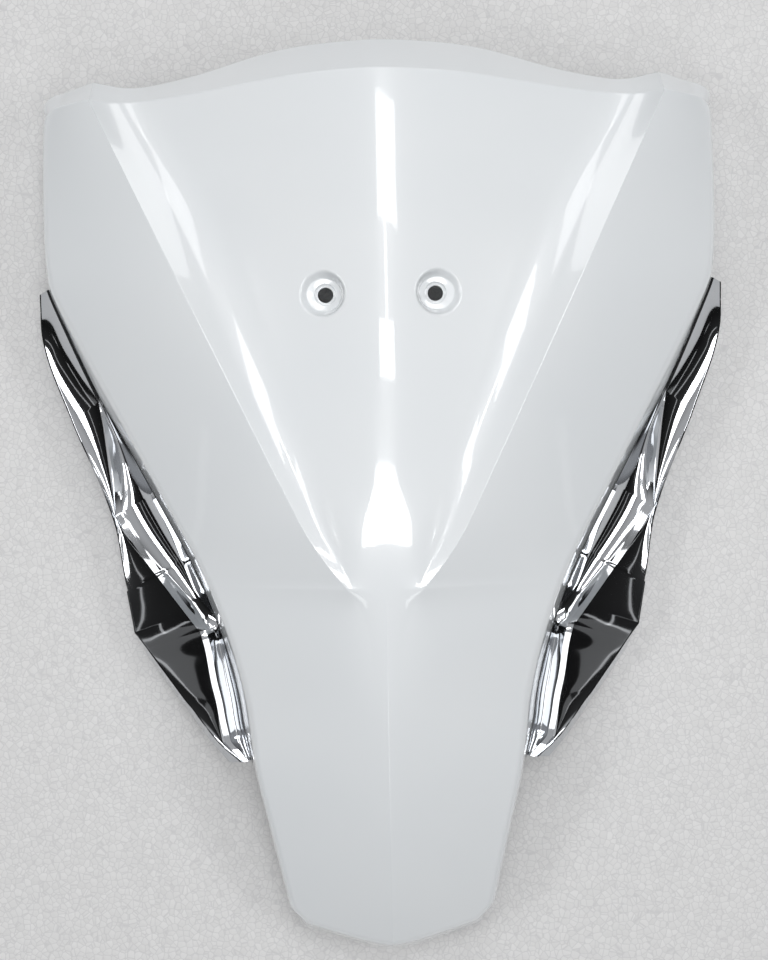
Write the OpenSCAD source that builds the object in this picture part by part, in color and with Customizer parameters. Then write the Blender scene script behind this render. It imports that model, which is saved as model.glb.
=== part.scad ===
// Scooter front nose panel: one gloss white moulding with a plated garnish along each flank.
// Millimetres. X to the right, Y up the panel, Z out of its face. The panel lies on its back,
// on its shoulder flanges and the rims of the garnishes, at Z = 0.

/* [Outline] */
// level of the top crest on the centre line, above the middle of the panel
crest_y = 239.2; // [234:0.2:244]
// level of the top crest at the shoulders
crest_side_y = 231.3; // [228:0.1:234]
// half width of the raised middle of the top crest
crest_bump_w = 85; // [75:1:95]
// width across the shoulders
shoulder_w = 389; // [380:1:396]
// level at which the shoulder turns into the flank
shoulder_low_y = 133.5; // [130:0.5:137]
// lean of the straight flank from the length of the panel, in degrees
flank_lean = 28.8; // [27.5:0.1:29.5]
// level at which the straight flank ends
knee_y = -24; // [-27:1:-21]
// level of the hip below the knee
hip_y = -64; // [-67:1:-61]
// width at the hip
hip_w = 182; // [178:1:186]
// level of the waist
waist_y = -106; // [-110:1:-102]
// width at the waist
waist_w = 160; // [157:1:163]
// level of the neck
neck_y = -150; // [-154:1:-146]
// width at the neck
neck_w = 150.5; // [148:0.5:153]
// level of the jaw
jaw_y = -183; // [-187:1:-179]
// width at the jaw
jaw_w = 137.5; // [135:0.5:140]
// level of the chin corners
chin_y = -241; // [-244:1:-238]
// width between the chin corners
chin_w = 116; // [112:1:120]
// level of the tip of the chin
chin_tip_y = -254.9; // [-257:0.1:-251]
// radius of the shoulder corners and chin corners, seen from above
corner_r = 9; // [6:0.5:11]

/* [Face heights] */
// height of the middle ridge at its highest
peak_z = 100.5; // [97:0.5:104]
// level of the highest point of the ridge
peak_y = 5; // [-5:1:15]
// radius of the ridge's long arc above the peak
crown_r = 3200; // [2600:50:4200]
// radius of the ridge's long arc down to the chin
nose_r = 560; // [540:5:600]
// height of the face's edge along the shoulder
shoulder_z = 42; // [40:0.5:44]
// rise of the face's edge for each millimetre down the flank
flank_rise = 0.137; // [0.125:0.001:0.145]
// height of the face's edge at the hip, before it is rounded into the flank
hip_z = 66; // [64:0.5:68]
// radius of the edge's arc from the hip to the chin
jaw_r = 500; // [480:5:560]
// how far the wings crown above a straight line
wing_bow = 1.5; // [0.5:0.1:3]

/* [Scoop] */
// level of the bottom of the V between the creases
vee_y = -43; // [-46:1:-40]
// width between the creases at the top crest
crease_top_w = 321; // [316:1:326]
// lean of the creases from the length of the panel, in degrees
crease_lean = 25.9; // [25.6:0.1:26.2]
// level below which the creases bend in towards the V
crease_bend_y = 60; // [50:1:70]
// radius of that bend
crease_bend_r = 450; // [420:5:500]
// height of the creases at the bottom of the V
crease_z = 97.8; // [96.5:0.1:98.5]
// radius of the creases' long arc up to the top crest
crease_r = 1150; // [1080:10:1250]
// width of the sloping wall inside each crease, at the top
scoop_w = 29; // [27:0.5:31]
// depth of the valley under the crease, at the top
scoop_depth = 10.5; // [8:0.5:12]
// how soft the middle ridge is, as a radius
ridge_soft = 10; // [6:0.5:16]

/* [Walls and band] */
// thickness of the skin, along the mould's pull
skin_t = 2.8; // [2.4:0.1:3.2]
// thickness of the walls and flanges round the edge
wall_t = 2.6; // [2.2:0.1:3]
// length over which the face's edge is rounded
edge_r = 3.6; // [3:0.1:4.2]
// slope of the rolled top band, in degrees below the face
band_angle = 47; // [42:1:50]
// run of the rolled top band in the middle
band_mid_w = 23; // [21:0.5:25]
// run of the rolled top band towards the shoulders
band_side_w = 10.5; // [9:0.5:12]
// half width of the wide middle of the band
band_bump_w = 88; // [80:1:95]
// extra run of the band where the crease meets it
band_ear = 3; // [1.5:0.1:4]
// height of the lip that turns down from the band
band_lip = 7; // [5:0.5:9]
// run of the flank wall from the face's edge to the garnish
flank_run = 6.6; // [6:0.1:7.2]
// height of the flank wall above the garnish
flank_h = 23; // [21:0.5:25]
// how far the flank wall goes on behind the garnish
flank_lip = 9; // [7:0.5:11]
// run of the wall along the chin
chin_run = 3.6; // [3:0.1:4.2]
// run of the lip below the tip of the chin
chin_tip_run = 7.4; // [6.4:0.1:8.4]
// height of the chin's wall
chin_h = 21; // [19:0.5:23]

/* [Garnish] */
// thickness of the plated moulding
garnish_t = 2.6; // [2.2:0.1:3]
// gap between the garnish and the panel's wall
garnish_gap = 0.4; // [0.3:0.05:0.6]
// level of the garnish's upper tip on the flank
tip_y = 130; // [128:0.5:131]
// level of the rim's corner, as it is on the flank
corner_y = -51; // [-54:1:-48]
// level of the garnish's lower tip on the flank
tail_y = -147; // [-150:1:-145]
// width at the upper tip
tip_w = 6; // [5:0.5:7]
// width at the corner of the rim
corner_w = 50; // [47:0.5:53]
// width at the lower tip
tail_w = 7; // [6:0.5:9]
// level at which the first ridge leaves the panel
ridge_a_y = 68; // [64:1:72]
// level at which the first and second ridges meet the rim
ridge_b_y = 14; // [11:1:17]
// level at which the second ridge ends and the third starts
ridge_c_y = -64; // [-67:1:-61]
// distance of the third ridge from the panel, at its top
channel_w = 10.5; // [9.5:0.5:12]
// height of the ridges where the second meets the third
ridge_peak_z = 46; // [44:0.5:48]
// depth of the scoop between the first two ridges and the panel
leaf_sag = 5; // [3.5:0.5:6.5]
// depth of the channel beside the third ridge
channel_sag = 8; // [6:0.5:9.5]
// height of the rim's crest along the outer side
rim_z = 10; // [8.5:0.5:12]
// run of the lip outside the rim's crest
lip_w = 3.6; // [3:0.1:4.4]
// extra run of the lip below the rim's corner
low_lip_extra = 4.2; // [3:0.1:5]

/* [Number plate seats] */
// distance between the two screw holes
plate_pitch = 60; // [57:0.5:62]
// level of the screw holes
plate_y = 117; // [112:1:122]
// through hole
plate_hole_d = 8.4; // [7.5:0.1:9]
// step round the hole
plate_step_d = 11.7; // [11:0.1:12.5]
// flat seat for the plate's spacer
plate_seat_d = 17.5; // [16.5:0.1:18.5]
// depth of the step below the seat
plate_step_depth = 1.4; // [1:0.1:1.8]
// height of the flat seats
plate_seat_z = 87; // [86:0.1:87.5]
// depth of the boss below the seats
plate_boss_depth = 6; // [5:0.5:8]
// flare of the dish above the seat, in degrees from upright
plate_flare = 30; // [26:1:34]
// how far the dish leans outwards, square to the face, in degrees
plate_dish_lean = 13; // [10:1:16]
// outside of the bosses behind the seats
plate_boss_d = 27; // [26:0.5:29]

/* [Screws and posts] */
// shank of the garnish screws
screw_d = 4; // [3.8:0.1:4.4]
// head of the garnish screws
screw_head_d = 8.5; // [8:0.1:9]
// height of the screw heads
screw_head_h = 3; // [2.6:0.1:3.4]
// bore of the garnish posts, before the screw cuts its thread
post_bore_d = 4.1; // [4:0.05:4.4]
// outside of the garnish posts
post_d = 9; // [8.4:0.1:10]
// levels of the three posts of a garnish, on the flank
post_levels = [92, -8, -95]; // [-100:1:96]
// distances of the posts from the panel's wall
post_offsets = [9.5, 16, 22]; // [9:0.5:23]
// heights of the tabs' upper faces, where the posts stand
tab_tops = [8, 9, 16]; // [7.5:0.5:17]
// width of the panel's screw tabs
tab_w = 22; // [20:0.5:24]
// thickness of the screw tabs
tab_t = 3; // [2.6:0.1:3.4]
// clearance of the screws in the tabs' holes
tab_clear = 0.6; // [0.4:0.1:0.9]
// length of the screws under the head
screw_l = 9.5; // [9:0.1:10]

/* [Fixing to the scooter] */
// bosses behind the top corners, across the panel
top_boss_pitch = 176; // [170:1:182]
// level of the bosses behind the top corners
top_boss_y = 200; // [195:1:204]
// bosses behind the chin, across the panel
chin_boss_pitch = 60; // [56:1:64]
// level of the bosses behind the chin
chin_boss_y = -205; // [-210:1:-200]
// outside of the fixing bosses
boss_d = 11; // [10:0.5:12]
// bore of the fixing bosses
boss_bore_d = 4.2; // [3.8:0.1:5]
// depth of those bores
boss_bore_depth = 14; // [12:0.5:16]
// level of the faces that the top bosses are screwed to
top_boss_z = 34; // [30:1:38]
// level of the faces that the chin bosses are screwed to
chin_boss_z = 16; // [14:1:20]
// thickness of the ribs behind the face
rib_t = 1.8; // [1.5:0.1:2.2]
// depth of the ribs below the skin
rib_depth = 9; // [7:0.5:11]

/* [Hidden] */
$fn = 48;

// helpers
function mix(a, b, t) = a + (b - a) * t;
function clamp01(t) = max(0, min(1, t));
function ease(t) = let (c = clamp01(t)) c * c * (3 - 2 * c);
// 0 where y is at a, 1 where it is at b, with an eased change between
function between(a, b, y) = ease((y - a) / (b - a));
function soft_min(a, b, k) = (a + b - sqrt((a - b) * (a - b) + k * k)) / 2;
function soft_max(a, b, k) = (a + b + sqrt((a - b) * (a - b) + k * k)) / 2;
function arc_drop(d, r) = r - sqrt(r * r - d * d);
function unit(v) = v / norm(v);

// a smooth curve through stations [level, value], in rising order of level
function span_of(p, y, i = 0) = (i >= len(p) - 2 || y <= p[i + 1][0]) ? i : span_of(p, y, i + 1);
function secant(p, i) = (p[i + 1][1] - p[i][1]) / (p[i + 1][0] - p[i][0]);
function lean_at(p, i) =
    i == 0 ? secant(p, 0) : i == len(p) - 1 ? secant(p, i - 1) : (secant(p, i - 1) + secant(p, i)) / 2;
function through(p, y) =
    let (i = span_of(p, y), h = p[i + 1][0] - p[i][0], t = clamp01((y - p[i][0]) / h),
         m0 = lean_at(p, i) * h, m1 = lean_at(p, i + 1) * h)
    (2 * t * t * t - 3 * t * t + 1) * p[i][1] + (t * t * t - 2 * t * t + t) * m0
        + (3 * t * t - 2 * t * t * t) * p[i + 1][1] + (t * t * t - t * t) * m1;

// outline: the line where the face would meet the side walls if it were not rounded
shoulder_bow_r = 1500;
shoulder_bow_y = 165;
shoulder_blend = 6;
function shoulder_x(y) = shoulder_w / 2 - pow(y - shoulder_bow_y, 2) / (2 * shoulder_bow_r);
function flank_x(y) = shoulder_w / 2 - (shoulder_low_y - y) * tan(flank_lean);
function upper_edge(y) = soft_min(shoulder_x(y), flank_x(y), shoulder_blend);
lower_edge = [
    [chin_tip_y - 20, chin_w / 2 - 5],
    [chin_y, chin_w / 2],
    [jaw_y, jaw_w / 2],
    [neck_y, neck_w / 2],
    [waist_y, waist_w / 2],
    [hip_y, hip_w / 2],
    [knee_y, upper_edge(knee_y)],
    [knee_y + 30, upper_edge(knee_y + 30)]
];
function edge_x(y) = y > knee_y ? upper_edge(y) : through(lower_edge, y);

chin_round = 12;
chin_slope = (chin_y - chin_tip_y) / (sqrt(pow(chin_w / 2, 2) + chin_round * chin_round) - chin_round);
function crest_line(x) = crest_side_y + (crest_y - crest_side_y) / (1 + pow(abs(x) / crest_bump_w, 4));
function chin_line(x) = chin_tip_y + chin_slope * (sqrt(x * x + chin_round * chin_round) - chin_round);

// heights along the feature lines
function ridge_z(y) = peak_z - arc_drop(y - peak_y, y > peak_y ? crown_r : nose_r);
function flank_line_z(y) = soft_max(shoulder_z, shoulder_z + flank_rise * (shoulder_low_y - y), 3);
function edge_z(y) = soft_min(flank_line_z(y), hip_z - arc_drop(min(0, y - (hip_y + 14)), jaw_r), 4);
function scoop_s(y) = max(0.0008, (y - vee_y) / (crest_y - vee_y));
function crease_x(y) =
    crease_top_w / 2 - (crest_side_y - 2 - y) * tan(crease_lean)
        - (y < crease_bend_y ? pow(crease_bend_y - y, 2) / (2 * crease_bend_r) : 0);
function crease_h(y) = crease_z - arc_drop(max(0, y - vee_y), crease_r);
function shelf_w(y) =
    scoop_w * pow(scoop_s(y), 0.42) * (1 - 0.4 * between(crest_side_y - 65, crest_side_y + 6, y));
function shelf_depth(y) = scoop_depth * sqrt(scoop_s(y));

// the face with the scoop, above the bottom of the V
ridge_crown = 0.25;
function ridge_fall(x, w) =
    ridge_crown * x * x / (w * w)
        + (1 - ridge_crown) * (norm([x, ridge_soft]) - ridge_soft) / (norm([w, ridge_soft]) - ridge_soft);
function scoop_face(x, y) =
    let (xc = crease_x(y), zc = crease_h(y), xe = edge_x(y), t = (x - xc) / (xe - xc))
    x >= xc
        ? mix(zc, edge_z(y), t) + wing_bow * 4 * t * (1 - t)
        : let (w = shelf_w(y), d = shelf_depth(y), zr = ridge_z(y))
            soft_max(mix(zr, zc - d, ridge_fall(x, xc - w)), zc - d * (xc - x) / w, 0.35 * d);

// the face below the V: a flat middle and falling sides, joined by a bend that softens downwards
nose_soft = 0.9;
function nose_face(x, y) =
    let (s = max(0, vee_y - y), k = 1.5 + nose_soft * s, xe = edge_x(y),
         xk = crease_x(vee_y) * (1 - 0.65 * (1 - exp(-s / 15))),
         b0 = bend(-xk, k), t = clamp01((x - xk) / (xe - xk)))
    mix(ridge_z(y), edge_z(y), (bend(x - xk, k) - b0) / (bend(xe - xk, k) - b0))
        + wing_bow * 4 * t * (1 - t) * (1 - ease(s / 70));
function bend(x, k) = (x + sqrt(x * x + k * k)) / 2;

vee_blend = 7;
function face_z(x, y) =
    let (ax = abs(x), t = between(vee_y - vee_blend, vee_y + vee_blend, y))
    t >= 1 ? scoop_face(ax, y) : t <= 0 ? nose_face(ax, y) : mix(nose_face(ax, y), scoop_face(ax, y), t);

// grid over the face: its columns follow the ridge, the valleys, the creases and the edges
function between_lines(a, b, list) = [for (f = list) mix(a, b, f)];
function column_lines(y, xe) =
    let (s = max(0, vee_y - y),
         xc = y > vee_y ? crease_x(y) : mix(crease_x(vee_y), xe / 2, clamp01(s / (vee_y - chin_tip_y))),
         xv = xc - max(shelf_w(y), min(4.5 + s / 30, 10)),
         x1 = min(5, xv * 0.15), x2 = min(12, xv * 0.36))
    concat([0, x1, x2], between_lines(x2, xv, [0.33, 0.67, 1]), between_lines(xv, xc, [0.38, 0.7, 1]),
        between_lines(xc, xe, [0.22, 0.46, 0.68, 0.85]), [xe - min(4.5, (xe - xc) * 0.06), xe]);
half_cols = len(column_lines(0, edge_x(0))) - 1;

top_steps = [0, 3, 8, 15, 25, 38];
top_run = 10;
vee_half = 20;
vee_steps = 5;
nose_steps = 9;
chin_steps = [16, 8, 3, 0];
row_levels = concat(
    [for (d = top_steps) crest_y - d],
    [for (i = [1 : top_run]) mix(crest_y - 38, vee_y + vee_half, i / top_run)],
    [for (i = [1 : vee_steps]) mix(vee_y + vee_half, vee_y - vee_half, i / vee_steps)],
    [for (i = [1 : nose_steps]) mix(vee_y - vee_half, chin_tip_y + 24, i / nose_steps)],
    [for (d = chin_steps) chin_tip_y + d]
);
rows = len(row_levels) - 1;

// a row bends from its level on the centre line towards the arched top and the V of the chin
function row_y(y0, x, top_in, low_in) =
    let (a = pow(clamp01((y0 - 60) / (crest_y - 60)), 1.5), b = clamp01((-165 - y0) / (-165 - chin_tip_y)))
    y0 + a * (crest_line(x) - top_in - crest_y) + b * (chin_line(x) + low_in - chin_tip_y);

// the square corners of the grid are drawn in to round ones
function round_in(x, y, xe, yt, yb, r) =
    let (p = clamp01((x - (xe - r)) / r), qt = clamp01((y - (yt - r)) / r), qb = clamp01(((yb + r) - y) / r))
    p > 0 && qt > 0 ? [xe - r + r * p * sqrt(1 - qt * qt / 2), yt - r + r * qt * sqrt(1 - p * p / 2)]
    : p > 0 && qb > 0 ? [xe - r + r * p * sqrt(1 - qb * qb / 2), yb + r - r * qb * sqrt(1 - p * p / 2)]
    : [x, y];

function grid_point(j, k, side_in, top_in, low_in) =
    let (y0 = row_levels[j], ak = abs(k),
         x1 = column_lines(y0, edge_x(y0) - side_in)[ak],
         y1 = row_y(y0, x1, top_in, low_in),
         x2 = column_lines(y1, edge_x(y1) - side_in)[ak],
         y2 = row_y(y0, x2, top_in, low_in),
         x3 = column_lines(y2, edge_x(y2) - side_in)[ak],
         p = round_in(x3, y2, edge_x(y2) - side_in, crest_line(x3) - top_in, chin_line(x3) + low_in,
             corner_r - 2))
    [k < 0 ? -p[0] : p[0], p[1]];

// how far inside the outline the face starts to round into the walls
side_in = edge_r;
top_in = 0.7;
low_in = 2.8;
inner_side_in = wall_t + 1.6;
inner_top_in = 2;
inner_low_in = wall_t + 1.2;

outer_face = [for (j = [0 : rows]) [for (k = [-half_cols : half_cols])
    let (p = grid_point(j, k, side_in, top_in, low_in)) [p[0], p[1], face_z(p[0], p[1])]]];
inner_face = [for (j = [0 : rows]) [for (k = [-half_cols : half_cols])
    let (p = grid_point(j, k, inner_side_in, inner_top_in, inner_low_in))
        [p[0], p[1], face_z(p[0], p[1]) - skin_t]]];

// the face's border, counter-clockwise from the left chin corner, as [row, column]
cols = 2 * half_cols;
border = concat(
    [for (k = [0 : cols]) [rows, k]],
    [for (j = [rows - 1 : -1 : 0]) [j, cols]],
    [for (k = [cols - 1 : -1 : 0]) [0, k]],
    [for (j = [1 : rows - 1]) [j, 0]]
);
stations = len(border);
function flat(p) = [p[0], p[1]];
function border_point(face, i) = let (b = border[(i + stations) % stations]) face[b[0]][b[1]];
function outward(face, i) =
    let (p = flat(border_point(face, i)), a = unit(p - flat(border_point(face, i - 1))),
         b = unit(flat(border_point(face, i + 1)) - p), m = unit(a + b))
    [m[1], -m[0]];

// runs and heights of the walls, by where they are on the border
function band_run(x) =
    band_side_w + (band_mid_w - band_side_w) / (1 + pow(abs(x) / band_bump_w, 5))
        + band_ear * exp(-pow((abs(x) - crease_top_w / 2) / 13, 2));
flank_top_y = shoulder_low_y - 1.5;
function wall_h(y) =
    mix(mix(4, flank_h, between(flank_top_y, 30, y)), chin_h, between(tail_y + 20, tail_y - 12, y));
function wall_run(y) =
    mix(mix(1.4, flank_run, between(flank_top_y, 60, y)), chin_run, between(tail_y + 30, tail_y - 5, y));
function side_profile(y, z) =
    let (s = between(flank_top_y, flank_top_y + 9, y), h = mix(wall_h(y), 14, s),
         low = mix(flank_lip, 3, between(tail_y + 10, tail_y - 8, y)))
    [mix(wall_run(y), 1.2, s), h, mix(0.01, 1.2, s), mix(low, max(z - 14, 2), s)];
function top_profile(x) = let (r = band_run(x)) [r, r * tan(band_angle), 0.4, band_lip];
low_profile = [chin_tip_run, chin_h - 3, 0.3, 3];
function wall_profile(p, n, z) =
    let (t = between(0.25, 0.9, n[1]), b = between(0.62, 0.92, -n[1]))
    t * top_profile(p[0]) + b * low_profile + (1 - t - b) * side_profile(p[1], z);

// where two lines meet, each given by a point and a direction
function crossing(p, d, q, e) =
    let (den = d[0] * e[1] - d[1] * e[0], w = q - p) p + d * ((w[0] * e[1] - w[1] * e[0]) / den);
function curve3(a, b, c, t) = a * (1 - t) * (1 - t) + b * 2 * t * (1 - t) + c * t * t;

// the wall's section at a station, as outer and inner points, each [outwards, height]
function face_lean(p, n) = (face_z(p[0], p[1]) - face_z(p[0] - 2 * n[0], p[1] - 2 * n[1])) / 2;
function wall_section(i) =
    let (p = border_point(outer_face, i), n = outward(outer_face, i), lean = face_lean(p, n),
         side_inset = side_in * abs(n[0]),
         inset = mix(mix(side_inset, top_in, between(0.25, 0.9, n[1])), low_in, between(0.62, 0.92, -n[1])),
         corner = [inset, p[2] + lean * inset],
         w = wall_profile(p, n, corner[1]),
         b1 = unit([w[0], -w[1]]), b2 = unit([w[2], -w[3]]),
         n1 = [b1[1], -b1[0]] * wall_t, n2 = [b2[1], -b2[0]] * wall_t,
         foot1 = corner + [w[0], -w[1]], foot2 = foot1 + [w[2], -w[3]],
         r = min(inset + 0.4, w[1] * 0.45),
         face_dir = unit([1, lean]),
         corner_in = crossing(corner - [0, skin_t], face_dir, corner + n1, b1),
         foot1_in = crossing(corner + n1, b1, foot1 + n2, b2),
         foot2_in = crossing(foot1_in, b2, foot2, [1, 0]),
         q = border_point(inner_face, i),
         start_in = [(q[0] - p[0]) * n[0] + (q[1] - p[1]) * n[1], q[2]],
         r_in = max(0.8, r - wall_t))
    [
        [curve3([0, p[2]], corner, corner + b1 * r, 1 / 3), curve3([0, p[2]], corner, corner + b1 * r, 2 / 3),
            corner + b1 * r, foot1, foot2],
        [curve3(start_in, corner_in, corner_in + b1 * r_in, 0.5), corner_in + b1 * r_in, foot1_in, foot2_in]
    ];
sections = [for (i = [0 : stations - 1]) wall_section(i)];
function in_space(i, s) =
    let (p = border_point(outer_face, i), n = outward(outer_face, i)) [p[0] + s[0] * n[0], p[1] + s[0] * n[1], s[1]];

// points of the shell: outer face, inner face, then the outer and the inner wall rings
outer_rings = len(sections[0][0]);
inner_rings = len(sections[0][1]);
face_count = (rows + 1) * (cols + 1);
shell_points = concat(
    [for (j = [0 : rows]) for (k = [0 : cols]) outer_face[j][k]],
    [for (j = [0 : rows]) for (k = [0 : cols]) inner_face[j][k]],
    [for (r = [0 : outer_rings - 1]) for (i = [0 : stations - 1]) in_space(i, sections[i][0][r])],
    [for (r = [0 : inner_rings - 1]) for (i = [0 : stations - 1]) in_space(i, sections[i][1][r])]
);
function at_outer(j, k) = j * (cols + 1) + k;
function at_inner(j, k) = face_count + at_outer(j, k);
function ring_outer(r, i) =
    let (c = i % stations)
    r == 0 ? at_outer(border[c][0], border[c][1]) : 2 * face_count + (r - 1) * stations + c;
function ring_inner(r, i) =
    let (c = i % stations)
    r == 0 ? at_inner(border[c][0], border[c][1])
    : 2 * face_count + (outer_rings + r - 1) * stations + c;
function quad(a, b, c, d) = [[a, b, c], [a, c, d]];
function quad_other(a, b, c, d) = [[a, b, d], [b, c, d]];

shell_faces = concat(
    [for (j = [0 : rows - 1]) for (k = [0 : cols - 1]) each k < half_cols
        ? quad_other(at_outer(j, k), at_outer(j, k + 1), at_outer(j + 1, k + 1), at_outer(j + 1, k))
        : quad(at_outer(j, k), at_outer(j, k + 1), at_outer(j + 1, k + 1), at_outer(j + 1, k))],
    [for (j = [0 : rows - 1]) for (k = [0 : cols - 1]) each k < half_cols
        ? quad(at_inner(j, k + 1), at_inner(j, k), at_inner(j + 1, k), at_inner(j + 1, k + 1))
        : quad_other(at_inner(j, k + 1), at_inner(j, k), at_inner(j + 1, k), at_inner(j + 1, k + 1))],
    [for (r = [0 : outer_rings - 1]) for (i = [0 : stations - 1]) each
        quad(ring_outer(r, i), ring_outer(r, i + 1), ring_outer(r + 1, i + 1), ring_outer(r + 1, i))],
    [for (r = [0 : inner_rings - 1]) for (i = [0 : stations - 1]) each
        quad(ring_inner(r, i + 1), ring_inner(r, i), ring_inner(r + 1, i), ring_inner(r + 1, i + 1))],
    [for (i = [0 : stations - 1]) each
        quad(ring_outer(outer_rings, i), ring_outer(outer_rings, i + 1),
            ring_inner(inner_rings, i + 1), ring_inner(inner_rings, i))]
);

// garnish: its sections stand on the flank, square to the panel's edge seen from above
function edge_normal(y) = unit([1, (edge_x(y - 1) - edge_x(y + 1)) / 2]);
tip_levels = [tip_y, 127, 122, 116, 109, 101, 92, 83, 75];
ridge_steps = 6;
garnish_levels = concat(
    tip_levels,
    [for (i = [0 : ridge_steps]) mix(ridge_a_y, ridge_b_y, i / ridge_steps)],
    [for (i = [1 : ridge_steps]) mix(ridge_b_y, corner_y, i / ridge_steps)],
    [mix(corner_y, ridge_c_y, 0.5), ridge_c_y + 2, ridge_c_y - 3, ridge_c_y - 9],
    [for (i = [1 : ridge_steps]) mix(ridge_c_y - 9, tail_y + 7, i / ridge_steps)],
    [tail_y + 3, tail_y]
);

// widths of the garnish from the panel's wall to the rim's crest, above and below the corner
upper_width = [
    [corner_y - 20, corner_w + 3],
    [corner_y, corner_w],
    [corner_y + 31, corner_w - 8],
    [10, 30],
    [67, 21.5],
    [112, 16],
    [tip_y, tip_w]
];
lower_width = [
    [tail_y, tail_w],
    [tail_y + 10, 16],
    [tail_y + 36, 30],
    [tail_y + 68, 42.5],
    [corner_y, corner_w],
    [corner_y + 20, corner_w + 5]
];
function garnish_w(y) = y > corner_y ? through(upper_width, y) : through(lower_width, y);
rim_heights = [
    [tail_y, rim_z + 18],
    [tail_y + 10, rim_z + 15],
    [tail_y + 36, rim_z + 8],
    [tail_y + 60, rim_z + 3],
    [corner_y - 12, rim_z],
    [40, rim_z],
    [108, rim_z + 2],
    [122, rim_z + 15],
    [tip_y, rim_z + 25]
];
lip_feet = [
    [tail_y, 22],
    [tail_y + 10, 14],
    [tail_y + 30, 7.5],
    [tail_y + 52, 3],
    [corner_y - 26, 0],
    [corner_y, 0],
    [108, 0],
    [119, 8],
    [tip_y, 26]
];
function seat_z(y) = edge_z(y) - wall_h(y);
function lip_run(y) =
    mix(lip_w + low_lip_extra, lip_w, between(corner_y - 24, corner_y + 4, y)) * mix(1, 0.4, between(108, tip_y, y));

// the ridge line: distance from the panel's wall and height
ridge_inset = 1.5;
function ridge_q(y) =
    let (w = garnish_w(y), b = (ridge_b_y - y) / (ridge_b_y - ridge_c_y))
    y >= ridge_a_y ? ridge_inset
    : y >= ridge_b_y ? mix(ridge_inset, w - ridge_inset, (ridge_a_y - y) / (ridge_a_y - ridge_b_y))
    : y >= ridge_c_y ? mix(garnish_w(ridge_b_y) - ridge_inset, channel_w, b) + 3.5 * 4 * b * (1 - b)
    : min(channel_w + 3.5 * between(ridge_c_y, ridge_c_y - 36, y), w * 0.8);
ridge_heights = [
    [tail_y, rim_z + 18.6],
    [tail_y + 10, rim_z + 17],
    [tail_y + 36, rim_z + 23],
    [ridge_c_y - 14, ridge_peak_z - 4],
    [ridge_c_y, ridge_peak_z],
    [ridge_c_y + 18, ridge_peak_z - 8],
    [ridge_c_y + 42, rim_z + 15],
    [ridge_b_y, rim_z + 1.2],
    [ridge_b_y + 14, rim_z + 13.5],
    [ridge_b_y + 28, rim_z + 21.5],
    [ridge_a_y, seat_z(ridge_a_y) - 0.7]
];
function ridge_h(y) = y > ridge_a_y ? seat_z(y) - 0.7 : through(ridge_heights, y);
function inner_sag(y) =
    y > ridge_c_y ? leaf_sag * between(ridge_a_y + 4, 30, y) * (1 - 0.85 * between(ridge_c_y + 22, ridge_c_y, y))
    : mix(leaf_sag * 0.15, channel_sag, between(ridge_c_y, ridge_c_y - 10, y)) * (1 - 0.7 * between(tail_y + 16, tail_y, y));
function outer_sag(y) = 3 * between(tip_y - 4, 100, y) * (1 - 0.6 * between(ridge_b_y + 20, ridge_b_y - 20, y));

// a section, from the panel's wall over the ridge to the rim and down the lip: [outwards, height]
inner_parts = [0, 0.25, 0.5, 0.75];
bead_w = 3.4;
outer_parts = [0, 0.17, 0.37, 0.6, 0.82, 1];
function bowed(a, b, sag, t) = mix(a, b, t) - [0, sag * 4 * t * (1 - t)];
function garnish_section(y) =
    let (w = garnish_w(y), q = ridge_q(y), a = [0, seat_z(y)], r = [q, ridge_h(y)], m = [w, through(rim_heights, y)],
         bead = [min(bead_w, q * 0.35), between(ridge_c_y + 2, ridge_c_y - 4, y)],
         s = r - [bead[0], mix((r[1] - a[1]) * bead[0] / q + inner_sag(y) * 4 * bead[0] / q * (1 - bead[0] / q), 0.3, bead[1])],
         lip = [w + lip_run(y), max(0, through(lip_feet, y))])
    concat(
        [for (t = inner_parts) bowed(a, s, inner_sag(y), t)],
        [s],
        [for (t = outer_parts) bowed(r, m, outer_sag(y), t)],
        [m + [0.9, -0.5], mix(m, lip, 0.6) + [0.5, 0], lip]
    );
// how far and which way the back of the moulding lies from its front, along a section
section_len = len(garnish_section(0));
function back_shift(c) =
    let (a = c < len(inner_parts) + 1 ? 0 : c < section_len - 1 ? 50 * (c - len(inner_parts)) / 8 : 90)
    garnish_t * [-sin(a), -cos(a)] * (a > 60 ? 0.9 : 1);

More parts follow.
